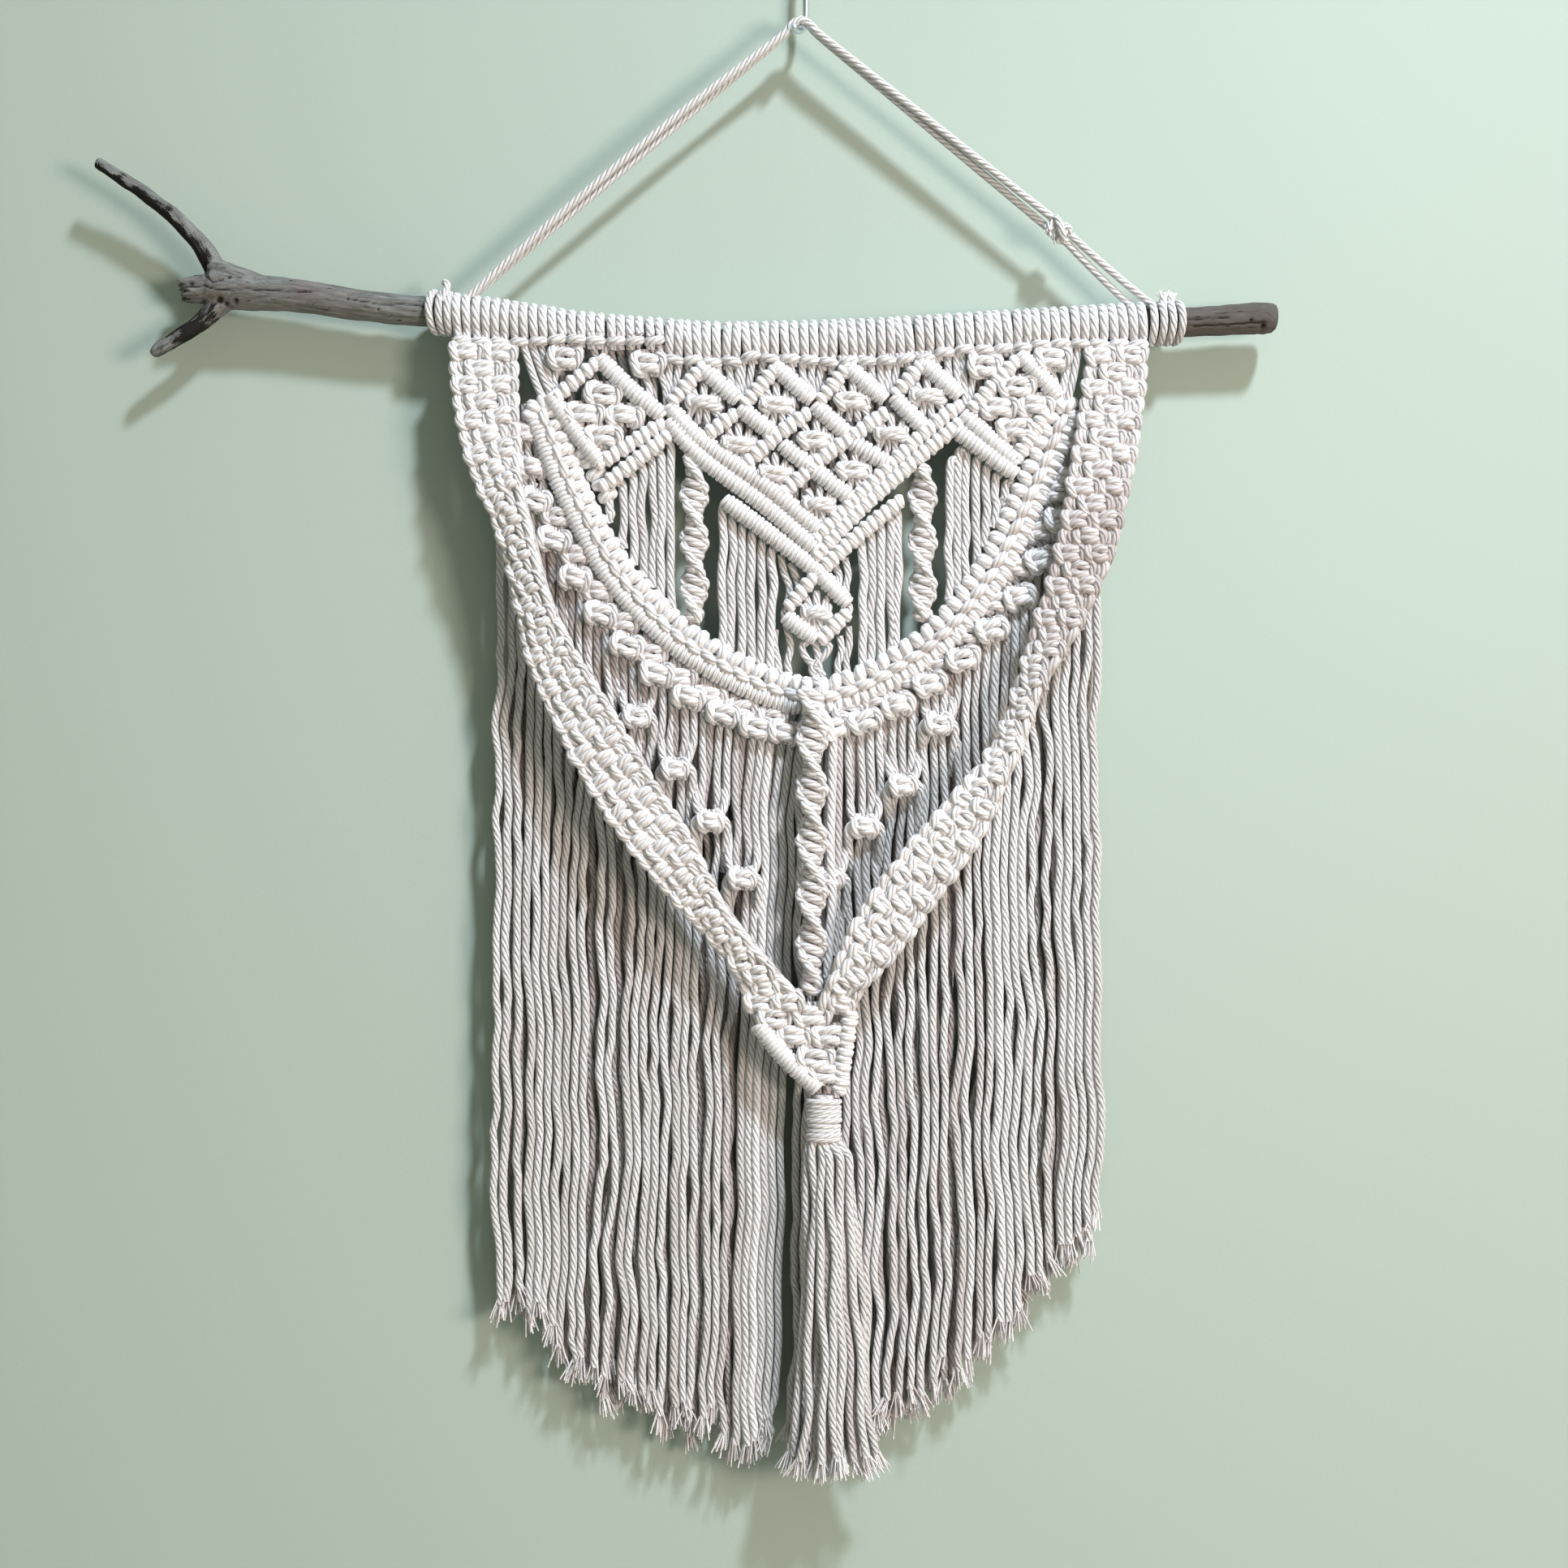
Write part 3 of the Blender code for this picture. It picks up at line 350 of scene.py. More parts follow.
hanger = {
    "diameter": 3.4, "leftX": -158.5, "apex": (-2.2, -31.8), "knot": (118.0, -131.0), "halfKnot": 6.0,
    "intoKnot": 2.5, "knotY": -17.3, "sides": 12, "pathStep": 3.0,
    "strands": (("hangerCordA", "hanger_cord_a", -16.4, 0.0), ("hangerCordB", "hanger_cord_b", -19.6, 3.2)),
    "tails": (("hangerTailA", "hanger_tail_a", 122.4, -135.6, 153.8, -15.0),
              ("hangerTailB", "hanger_tail_b", 124.3, -132.6, 162.6, -18.4))}
legDirection = Vector((hanger["knot"][0] - hanger["apex"][0], 0,
                       hanger["knot"][1] - hanger["apex"][1])).normalized()
intoKnot = legDirection * (hanger["halfKnot"] - hanger["intoKnot"])
knotTop = Vector((hanger["knot"][0], 0, hanger["knot"][1])) - intoKnot


def hangCord(name, node, route, steps, radius, shade):
    # a cord of the hanger as its own piece, swept along the path that it takes
    path = evenPath(smoothPath([tuple(p) for p in route], steps), hanger["pathStep"])
    piece = sweepCords(name, [{"path": path, "radius": radius, "shade": shade}], sides=hanger["sides"])
    finishPiece(name, [piece], [node])


for name, node, y, lift in hanger["strands"]:
    left = Vector((hanger["leftX"], y, stemHeight(hanger["leftX"]) + 8.0))
    apex = Vector((hanger["apex"][0], y, hanger["apex"][1]))
    # the two lie apart where they reach the knot
    right = Vector((knotTop.x, y, knotTop.z - 1.6 + 1.75 * lift))
    higher = Vector((0, 0, lift))
    route = [left, left.lerp(apex, 0.3) + higher, left.lerp(apex, 0.65) + higher, left.lerp(apex, 0.93),
             apex + Vector((-4.5, 0, -2.4)), apex, apex + Vector((4.5, 0, -2.6))]
    route += [right.lerp(apex, t) for t in (0.93, 0.7, 0.35, 0.0)]
    hangCord(name, node, route, 12, 1.85, 0.0)

for name, node, x0, z0, x1, y in hanger["tails"]:
    start = Vector((x0, (hanger["knotY"] + y) / 2, z0))
    end = Vector((x1, y, stemHeight(x1) + 8.5))
    slack = [start.lerp(end, t) + Vector((0, 0, drop)) for t, drop in ((0.3, -0.6), (0.7, -0.7))]
    hangCord(name, node, [start, *slack, end], 8, 1.8, 0.05)
print("hanger cords made")


def chromedSteel(name):
    # bright chromed wire: clean reflections with a dark side
    made, tree, shader = newMaterial(name)
    feed(tree, shader, {"Base Color": linear("#dfeaf0"), "Metallic": 1.0, "Roughness": 0.36})
    return made


hook = {
    "wire": 1.6,
    "route": [(0, 0, 0), (0, -4, 0), (0, -8.2, -1.8), (0, -10, -6.5), (0, -10.2, -16), (0, -10.3, -27),
        (-0.6, -11.6, -33), (-2.6, -16, -36.2), (-4.6, -21, -36.9), (-6, -25.5, -36.4)]}
route = evenPath(smoothPath(hook["route"], 10), 0.7)
fromTip = lengths(route[::-1])[::-1]
rounding = np.sqrt(np.clip(1 - (1 - np.minimum(fromTip / hook["wire"], 1)) ** 2, 0.03, 1))
wire = sweepCords("wireHook", [{"path": route, "radius": hook["wire"] * rounding, "shade": 0.0}], sides=16,
                  finish=chromedSteel("Chromed steel wire"))
finishPiece("wireHook", [wire], ["hook"])


def driftwood(name, look):
    # weathered bare wood: grey streaks along the grain, pinkish patches, black flecks and cracks,
    # and rags of dark bark
    made, tree, shader = newMaterial(name)
    grain = readValue(tree, "grain", "Vector")
    place = addNode(tree, "ShaderNodeTexCoord").outputs["Object"]
    streaks = noiseOn(tree, grain, 0.55, 5.0, 0.7)
    body = blend(tree, rescale(tree, streaks, 0.35, 0.68), linear(look["grey"]), linear(look["pale"]))
    pink = rescale(tree, noiseOn(tree, place, 30.0, 3.0), 0.45, 0.7, 0.0, 0.65)
    body = blend(tree, pink, body, linear(look["pink"]))
    body = blend(tree, readValue(tree, "worn"), body, linear(look["worn"]))
    speck = rescale(tree, noiseOn(tree, grain, 1.3, 2.0), 0.64, 0.72)
    ragged = maths(tree, "MULTIPLY_ADD", noiseOn(tree, grain, 0.7, 5.0, 0.75), 2.3, -1.15)
    torn = rescale(tree, maths(tree, "ADD", readValue(tree, "bark"), ragged), 0.42, 0.58)
    dark = maths(tree, "MAXIMUM", speck, torn)
    # the cracks and pits are painted near black: partly their own colour, partly painted shade in the hollows
    dark = maths(tree, "MAXIMUM", dark, readValue(tree, "crack"), use_clamp=True)
    body = blend(tree, dark, body, linear(look["bark"]))
    bump = addNode(tree, "ShaderNodeBump", {"Height": streaks, "Strength": 0.8, "Distance": 0.3 * mm})
    feed(tree, shader, {"Base Color": body, "Normal": bump, "Roughness": 0.78, "Specular IOR Level": 0.3})
    return made


# every limb is a list of x, y, z and radius; bark is how much is left from its root to its tip,
# and lowerSide is how much more of the dark bark colour goes on faces that look down and to the left
branch = {
    "skin": 0.75, "grainDepth": 0.3, "crackDepth": 1.2, "crackWidth": 0.34, "barkDepth": 0.35,
    "limbs": {
        "stem": {
            "line": [(x, stemY, z, r) for x, z, r in stem[1:-1]] + [(190.0, stemY, -172.4, 7.0),
                (205.0, stemY, -171.6, 7.2), (212.0, stemY, -171.2, 7.3), (216.5, stemY, -171.0, 7.3),
                (219.4, stemY, -170.8, 6.7), (221.0, stemY, -170.8, 5.4)], "bark": (-0.9, -0.9, -0.9, -0.9),
            "lowerSide": 0.45},
        "upperTwig": {
            "line": [(-271.5, -15.6, -155.5, 6.6), (-277.0, -16.0, -148.0, 5.2),
                (-284.2, -16.5, -136.5, 4.3), (-296.4, -17.5, -123.6, 3.6), (-307.8, -18.5, -114.6, 3.3),
                (-320, -19.5, -106.4, 3.0), (-330.6, -20.4, -99.6, 2.7), (-332.2, -20.5, -98.8, 2.2)],
            "bark": (0.3, 0.42, 0.3, 0.35), "lowerSide": 0.75},
        "lowerTwig": {
            "line": [(-272.0, -16.2, -160.5, 6.2), (-277.5, -16.5, -166.5, 5.0),
                (-282.6, -17.5, -172.2, 4.0), (-288.5, -18.5, -177, 3.6), (-295, -19.5, -181.0, 3.4),
                (-303, -20.5, -186.6, 3.2), (-306.2, -21, -188.9, 2.0)], "bark": (-0.6, 0.75, 0.75, -0.1),
            "lowerSide": 0.35},
        "stub": {
            "line": [(-272, -16.2, -157.5, 7.4), (-281, -16.5, -157.3, 7.0), (-288.5, -17.5, -158, 6.2),
                (-291.3, -18.0, -158.4, 5.6)], "bark": (-0.35, -0.3, -0.2, 0.1), "lowerSide": 0.35},
        "knob": {
            "line": [(-276.6, -17.2, -147.6, 3.6), (-273.0, -18.2, -149.0, 4.4),
                (-268.0, -18.0, -151.0, 4.4), (-258.0, -16.4, -154.6, 4.6)],
            "bark": (0.1, -0.8, -0.8, -0.8), "lowerSide": 0.3}},
    "cracks": [[(-289.5, -158.0), (-281.0, -157.5), (-274.4, -159.4), (-262.0, -158.9), (-251.0, -159.4),
            (-231.0, -160.2)], [(-211.7, -163.8), (-198.0, -165.9), (-188.0, -165.5), (-174.0, -167.2)],
        [(-281.3, -146.5), (-281.0, -152.0), (-276.5, -156.0), (-272.0, -154.5)],
        [(178.0, -172.9), (190.0, -172.4), (197.0, -172.2)],
        [(181.0, -176.1), (199.0, -175.2), (214.0, -174.2)]],
    "pits": [(-274.0, -163.9, 1.6), (-270.9, -165.3, 1.0), (-266.4, -164.4, 1.1), (-269.2, -153.2, 0.8),
        (-287.0, -156.4, 1.2), (-214.0, -163.4, 0.6), (-200.0, -168.2, 0.6), (208.0, -173.4, 0.8),
        (213.5, -176.0, 1.2)]}
driftwoodLook = {
    "grey": "#525453", "pale": "#8b8f8f", "pink": "#6e6465", "worn": "#4b433e", "bark": "#13100f"}


def toSegments(points, line):
    # the distance from flat points to a line of x, z
    best = np.full(len(points), np.inf)
    for a, b in zip(np.array(line[:-1]), np.array(line[1:])):
        t = np.clip(((points - a) @ (b - a)) / np.dot(b - a, b - a), 0, 1)
        best = np.minimum(best, np.linalg.norm(points - (a + t[:, None] * (b - a)), axis=1))
    return best


def makeBranch():
    limbs, samples = [], []
    for limb in branch["limbs"].values():
        line = evenPath(smoothPath(limb["line"], 8), 1.2)
        limbs.append({"path": line[:, :3], "radius": line[:, 3], "shade": 0.0})
        s = lengths(line[:, :3])
        remains = np.interp(s / s[-1], np.linspace(0, 1, len(limb["bark"])), limb["bark"])
        for k in range(len(line)):
            way = line[min(k + 1, len(line) - 1), :3] - line[max(k - 1, 0), :3]
            samples.append((line[k, :3], way / np.linalg.norm(way), s[k], remains[k], limb["lowerSide"]))
    wood = driftwood("Weathered driftwood", driftwoodLook)
    solid = sweepCords("driftwoodBranch", limbs, sides=24, finish=wood)
    skin = solid.modifiers.new("Skin", "REMESH")
    skin.mode = "VOXEL"
    skin.voxel_size = branch["skin"] * mm
    soften = solid.modifiers.new("Soften", "SMOOTH")
    soften.factor = 0.6
    soften.iterations = 7
    mesh = ranMesh(solid)
    count = len(mesh.vertices)
    place, normal = np.empty(count * 3), np.empty(count * 3)
    mesh.vertices.foreach_get("co", place)
    mesh.vertices.foreach_get("normal", normal)
    place, normal = place.reshape(-1, 3) / mm, normal.reshape(-1, 3)
    nearest = KDTree(len(samples))
    for k, sample in enumerate(samples):
        nearest.insert(sample[0], k)
    nearest.balance()
    grain, bark, lift = np.empty((count, 3)), np.empty(count), np.empty(count)
    for k in range(count):
        axis, way, along, remains, lowerSide = samples[nearest.find(place[k])[1]]
        off = place[k] - axis
        # the grain runs about eight times slower along the limb than across it
        grain[k] = (off[0] * (1 - abs(way[0])), off[1], off[2]) + way * 0.13 * (along + np.dot(off, way))
        # faces that look down and to the left get more of the dark bark colour
        facingDownAndLeft = (0.2 - normal[k, 2] - 0.5 * normal[k, 0]) * 0.8
        bark[k] = remains + lowerSide * facingDownAndLeft + 0.6 * noise.noise(place[k] / 6.0)
        fine = noise.noise(grain[k] / 1.3) + 0.5 * noise.noise(grain[k] / 0.6)
        lift[k] = fine + 1.3 * noise.noise(place[k] / 9.0)
    bark = np.clip(bark, 0, 1)
    front = np.clip(-normal[:, 1] * 3, 0, 1)
    flat = place[:, (0, 2)] + 0.14 * np.sin(place[:, (2, 0)] * 0.9)
    # the cracks and pits are carved in and also painted near black, partly as painted shade
    crack = np.zeros(count)
    for line in branch["cracks"]:
        crack = np.maximum(crack, np.exp(-(toSegments(flat, line) / branch["crackWidth"]) ** 2) * front)
    for x, z, wide in branch["pits"]:
        crack = np.maximum(crack, np.exp(-(np.linalg.norm(flat - (x, z), axis=1) / wide) ** 4) * front)
    raised = branch["grainDepth"] * lift - branch["crackDepth"] * crack + branch["barkDepth"] * bark
    place += normal * raised[:, None]
    # the torn end of the stub
    torn = np.clip((-285.0 - place[:, 0]) / 5, 0, 1) * (np.abs(place[:, 2] + 158) < 9)
    place[:, 0] += torn * np.array([4.6 * noise.noise((p[1] / 2.6, p[2] / 2.4, 4.0)) - 0.4 for p in place])
    mesh.vertices.foreach_set("co", (place * mm).ravel())
    # and the sawn end on the right is browner
    worn = np.clip((place[:, 0] - 150) / 10, 0, 0.8) + 0.3 * torn
    for label, values in (("grain", grain), ("bark", bark), ("crack", crack), ("worn", worn)):
        setAttribute(mesh, label, values)
    mesh.shade_smooth()
    mesh.materials.clear()
    mesh.materials.append(wood)
    finishPiece("driftwoodBranch", [newObject("driftwoodBranch", mesh)], ["branch"])


makeBranch()
print("branch made")


def shapeObject(name, cords):
    # a knot's lines, used by the trees and never drawn itself
    made = lineMesh(name, [dict(c, shade=None) for c in cords])
    made.hide_render = True
    return made


def offsets(middle, way, across, points):
    # points given as how far along, how far across and how far towards the room
    return [middle + way * a + across * b + np.array([0, -c, 0]) for a, b, c in points]


# one square knot: x across, z up, and how far each point stands out
fannedLines = (([(-5.2, 2.3, 0.4), (-4.4, 2.2, 2.4), (-1.9, 2.5, 3.7), (1.3, 2.3, 4.2), (4.3, 1.7, 3.2),
            (6.2, 1.0, 0.8), (5.8, 0.7, -1.6)], 2.3),
    ([(-5.2, -1.2, 0.4), (-4.2, -1.3, 2.5), (-1.7, -1.4, 3.8), (1.5, -1.8, 4.2), (4.5, -2.4, 3.0),
            (6.3, -3.0, 0.6), (5.8, -3.0, -1.8)], 2.3),
    ([(-4.4, 3.9, -0.8), (-6.0, 3.2, 1.6), (-6.6, 1.3, 3.5), (-6.4, -0.7, 3.9), (-5.4, -2.4, 2.6),
            (-4.2, -3.4, -0.4)], 2.2),
    ([(4.6, 4.0, -0.8), (6.3, 3.0, 0.8), (6.9, 1.2, 1.8), (6.7, -0.8, 1.8), (5.6, -3.8, -0.8)], 1.85))
tightLines = (
    ([(-4.0, 2.7, 0.6), (-2.6, 2.5, 3.0), (-0.2, 2.3, 4.1), (2.4, 2.0, 3.4), (4.3, 1.5, 0.6)], 2.35),
    ([(-4.1, -1.6, 0.6), (-2.5, -1.6, 3.0), (0.2, -1.8, 4.1), (2.7, -2.2, 3.4), (4.3, -2.9, 0.6)], 2.35),
    ([(-3.4, 4.3, -0.6), (-5.3, 3.7, 2.0), (-6.4, 1.5, 3.5), (-6.3, -0.9, 3.6), (-5.1, -3.3, 2.3),
            (-3.2, -4.2, -0.4)], 2.3),
    ([(3.6, 4.3, -0.6), (5.6, 3.3, 1.8), (6.6, 1.1, 3.0), (6.4, -1.4, 3.0), (5.1, -3.8, 1.4),
            (3.4, -4.5, -0.6)], 2.2))
knotFan = {
    "above": ((-4.6, 7.4, -0.6), (0.2, 9.4, -0.4), (4.8, 7.4, -0.6)),
    "below": ((-5.8, -6.4, -0.6), (-1.9, -8.6, -0.4), (2.2, -8.6, -0.4), (6.2, -6.4, -0.6))}


def squareKnot(unevenness, width=1.0, fanned=False):
    # two cords tied round two fillers; fanned spreads short ends above and below the knot
    made = []
    size = (width, width * (0.88 if fanned else 1.0), 0.95)
    for line, radius in fannedLines if fanned else tightLines:
        shaken = rng.normal(0, unevenness, (len(line), 3)) + rng.normal(0, unevenness, 3)
        made.append(cord(np.array(line) * size + shaken, radius + rng.normal(0, 0.06)))
    for x in () if fanned else (-4.7, -1.9, 1.9, 4.7):
        made.append(cord([(x, 5.4, -0.3), (x * 0.95, 0.0, 0.1), (x, -5.4, -0.3)], 2.0, steps=1))
    for way, ends in (knotFan.items() if fanned else ()):
        up = 1 if way == "above" else -1
        for x, z, out in np.array(ends) + rng.normal(0, 1.2 * unevenness, (len(ends), 3)):
            line = [(x, z, out), (x * 0.8, z - 2.6 * up, out + 1.6), (x * 0.5, 1.5 * up, 1.0)]
            made.append(cord(line, 1.8))
    return made


def wrapArc(reach, lean):
    # one turn round a bar, open at the back
    turns = np.radians(np.linspace(-145, 145, 9))
    return np.column_stack([lean * turns / turns[-1], reach * np.sin(turns), reach * np.cos(turns)])


def arcShapes(name, radius, sizes):
    return [shapeObject(name + str(k), [{"path": wrapArc(reach, lean), "radius": radius}])
            for k, (reach, lean) in enumerate(sizes)]


closeKnots = [shapeObject("closeKnot" + str(k), squareKnot(0.3)) for k in range(4)]
netKnots = [shapeObject("netKnot" + str(k), squareKnot(0.35, 0.92, True)) for k in range(3)]
fatHitches = arcShapes("fatHitch", 2.4, ((1.75, 1.2), (1.95, 0.7)))
fineHitches = arcShapes("fineHitch", 1.16, ((2.75, 0.5), (2.9, 0.15)))
beads = arcShapes("bead", 2.95, ((1.9, 1.5), (2.1, -0.1)))


def barPlaces(line, y, pitch, size=(1, 1, 1), shade=0.05):
    # evenly spaced places along a line of x, z, half a pitch in from both ends
    flat = onPanel(line, y)
    path = evenPath(smoothPath(flat, 8) if len(line) > 2 else flat, 0.5)
    s = lengths(path)
    count = max(1, int(round(s[-1] / pitch)))
    out = []
    for d in (np.arange(count) + 0.5) * s[-1] / count:
        along = pointAt(path, s, d + 1) - pointAt(path, s, d - 1)
        out.append((pointAt(path, s, d), along / np.linalg.norm(along), towardsRoom, size, shade))
    return out


def stretched(line, extra):
    # the line a little longer at both ends
    flat = np.asarray(line, float)
    first, last = flat[0] - flat[1], flat[-1] - flat[-2]
    flat[0] += first / np.linalg.norm(first) * extra
    flat[-1] += last / np.linalg.norm(last) * extra
    return flat


def tapered(places):
    # the hitches at both ends are pulled smaller
    for k, small in ((0, 0.78), (-1, 0.78), (1, 0.92), (-2, 0.92)):
        if len(places) > 4:
            point, across, out, size, shade = places[k]
            places[k] = (point, across, out, tuple(small * v for v in size), shade)
    return places


bar = {"fatPitch": 4.15, "finePitch": 2.15, "overhang": 1.7, "coreShort": 1.5, "coreRadius": 2.4}


def hitchBars(name, ropes, y):
    # bars that fall to the right show as fine wound ropes, the others as fat single hitches
    fat, fine, cores = [], [], []
    for line in ropes:
        falling = (line[-1][0] - line[0][0]) * (line[-1][1] - line[0][1]) < 0
        line = stretched(line, bar["overhang"])
        if falling:
            # the fine turns are painted a little darker: painted shade in place of the groove shade that thin
            # cords lack
            fine += tapered(barPlaces(line, y, bar["finePitch"], (1, 1.2, 1.1), 0.15))
        else:
            fat += tapered(barPlaces(line, y, bar["fatPitch"], (1, 1.0, 1.1), 0.05))
        # painted shade: the cores show between the hitches and are painted darker
        core = onPanel(stretched(line, -bar["coreShort"]), y)
        cores.append(cord(core, bar["coreRadius"], 0.3, 4 if len(line) > 2 else 1))
    made = [sweepCords(name + "Cores", cores)]
    if fat:
        made += tieKnots(name + "Fat", fatHitches, fat)
    if fine:
        made += tieKnots(name + "Fine", fineHitches, fine, uneven=0.02)
    return made


frayed = {"yarnRadius": 0.43, "yarnLength": 11.5, "yarns": 13, "flare": 0.24, "stray": 0.07,
          "bends": (0.13, -0.12, 0.03)}
yarnShapes = []
for k, b in enumerate(frayed["bends"]):
    yarn = smoothPath([(0, 0, 0), (0.2 * b, 0, 0.35), (0.7 * b, 0.0, 0.7), (b, 0, 1.0)], 2)
    yarnShapes.append(shapeObject("yarn" + str(k), [{"path": yarn, "radius": frayed["yarnRadius"]}]))


def fraying(name, ends, seed, shade=0.5, reach=1.0):
    # cord ends opened into brushes of yarn: each end is a point and its direction
    local = np.random.default_rng(seed)
    places = []
    for point, way in ends:
        way = np.asarray(way, float) / np.linalg.norm(way)
        opened = frayed["flare"] * (0.5 + local.random())
        bend = local.normal(0, 0.13, 3) * (1, 0.4, 0)
        for k in range(frayed["yarns"]):
            # the yarns are spread over the cord's end, nearly evenly
            turn, fromMiddle = 2.4 * k + local.random(), math.sqrt((k + 0.5) / frayed["yarns"])
            outward = np.array([fromMiddle * math.cos(turn), 0.7 * fromMiddle * math.sin(turn), 0])
            out = way + bend + opened * outward + local.normal(0, frayed["stray"], 3)
            out /= np.linalg.norm(out)
            side = np.cross(out, local.normal(0, 1, 3))
            side /= np.linalg.norm(side)
            size = frayed["yarnLength"] * reach * (0.75 + 0.4 * local.random())
            root = np.asarray(point) - way * 3.0 + 1.5 * outward
            # shade paints the yarns duller than the cord: painted shade in place of the groove shade that
            # thin yarns lack
            places.append((root, side, out, (size, size, size), shade + 0.3 * (local.random() - 0.5)))
    return tieKnots(name, yarnShapes, places, sides=3, uneven=0.1, seed=seed)


heading = {
    "ends": (-165.7, 159.7), "heads": 36, "reach": 8.6, "lean": 0.7,
    "bars": ((-164.5, -182.8), (-130.3, -183.9), (-109.8, -182.4), (-90.4, -183.9), (-68.0, -184.1),
        (-65.5, -191.0), (-42.6, -193.2), (-25.5, -190.6), (1.1, -191.9), (16.3, -193.0), (59.7, -191.4),
        (67.0, -187.2), (93.1, -187.0), (112.9, -184.3), (131.9, -184.3), (158.5, -185.1))}


def aroundStem(x, turn, reach):
    # turn 0 faces the room and 90 is the top of the branch
    a = math.radians(turn)
    return (x, stemY - reach * math.cos(a), stemHeight(x) + reach * math.sin(a))


def larksHead(x, half, tilt):
    # two legs over the front of the branch, held by the bight that lies across them as a bar
    r = heading["reach"]
    bars = np.array(heading["bars"])
    low = float(np.interp(x, bars[:, 0], bars[:, 1])) + 0.5 * tilt
    below = stemHeight(x) - low
    frontY = stemY - math.sqrt(max(r * r - below * below, 30.0))
    stop = math.degrees(math.asin(min(1.0, max(0.0, below - 3.5) / r)))
    turns = [-105, -140, 180, 140, 105, 75, 45, 15] + list(np.linspace(0, -min(stop, 50.0), 3))
    legs = []
    for side in (-1, 1):
        leg = []
        for turn in turns:
            px, py, pz = aroundStem(x + side * half, turn, r)
            leaned = (heading["lean"] + tilt) * (pz - low - 6) / 14 * (-90 < turn < 110)
            leg.append((px - leaned, py, pz))
        leg.append((x + side * half * 0.75, frontY + 0.8, low + 0.4))
        leg.append((x + side * half * 0.9, frontY + 1.2, low - 3.6))
        legs.append(leg)
    across = (-1.3, -0.8, 0.0, 0.8, 1.3)
    bight = [(x + k * half, frontY - 3.2 + 2.2 * (k / across[-1]) ** 4, low + 0.5 * tilt * k) for k in across]
    under = [[(x + side * half * 1.25, frontY + 3.4, low + 0.6)] for side in (-1, 1)]
    return legs[0][::-1] + under[0] + bight + under[1] + legs[1]


heads = []
first, last = heading["ends"]
headWidth = (last - first) / heading["heads"]
for k in range(heading["heads"]):
    x = first + headWidth * (k + 0.5) + rng.normal(0, 0.25)
    route = larksHead(x, 2.15 + 0.15 * rng.random(), rng.normal(0, 0.5))
    heads.append(cord(route, 2.2, 0.02 + 0.12 * rng.random()))
finishPiece("larksHeads", [sweepCords("larksHeads", heads, sides=8)], ["heading"])


def plainTurns(name, node, places):
    # turns of cord round the branch, each at its x with its own lean
    turns = []
    for x, lean in places:
        ring = [aroundStem(x + lean * math.cos(math.radians(a)), a, 9.0) for a in range(-130, 236, 18)]
        turns.append(cord(ring, 1.9, 0.1 + 0.1 * rng.random()))
    finishPiece(name, [sweepCords(name, turns, sides=8)], [node])


plainTurns("endTurnsLeft", "end_wrap_left", ((-173.6, -2.5), (-170.0, -1.5), (-166.9, -0.6)))
plainTurns("endTurnsRight", "end_wrap_right", ((161.9, 0.6), (165.8, 1.2), (169.7, 1.6), (173.5, 2.2)))


def hangerKnot():
    # the two hanger cords tied off in one lump, its short ends untwisted
    middle = np.array([hanger["knot"][0], hanger["knotY"], hanger["knot"][1] + 0.6])
    way = np.array(legDirection)
    across = np.array([-way[2], 0, way[0]])
    coil = []
    for t in np.linspace(0, 1, 26):
        a = math.tau * (2.4 * t + 0.1)
        coil.append((-4.2 + 8.2 * t, 3.1 * math.cos(a), 2.9 * math.sin(a)))
    tied = ((-6.0, 2.2, 0.5), (-4.0, 3.4, 3.4), (-0.5, 1.4, 5.6), (2.6, -0.8, 4.8), (5.2, -1.8, 1.4),
            (6.2, -1.6, 0.2))
    loop = ((-5.8, -1.5, 0.0), (-3.0, -2.6, 2.0), (0.5, 2.4, 3.9), (3.4, 3.8, 2.6), (5.0, 2.6, 0.8),
            (6.0, 1.8, 0.0))
    tangle = ((coil, 1.75, 0.05, 1), (tied, 1.8, 0.05, 3), (loop, 1.7, 0.1, 3))
    cords = [cord(offsets(middle, way, across, points), radius, shade, steps)
             for points, radius, shade, steps in tangle]
    ends = []
    for a, b, c, d in ((-3.5, 2.4, 2.6, 1.2), (-0.5, 3.2, 3.0, 0.9), (2.6, 3.4, 2.0, 0.6)):
        ends.append((middle + way * a - across * b + np.array([0, -c, 0]),
                     way * 0.9 - across * d + np.array([0, -0.5, 0])))
    yarns = fraying("hangerKnotYarns", ends, 15, 0.05, 0.42)
    finishPiece("hangerKnot", [sweepCords("hangerKnot", cords, sides=8)] + yarns, ["hanger_knot"])


def cordEnds(name, node, top, stubs, seed, reach):
    # short cut ends that stand up from the branch's top
    stubs = [[(x, y, top + z) for x, y, z in line] for line in stubs]
    cords = [cord(line, 1.75, 0.05, 4) for line in stubs]
    ends = [(line[-1], np.array(line[-1]) - np.array(line[-2])) for line in stubs]
    parts = [sweepCords(name, cords, sides=8)] + fraying(name + "Yarns", ends, seed, 0.05, reach)
    finishPiece(name, parts, [node])


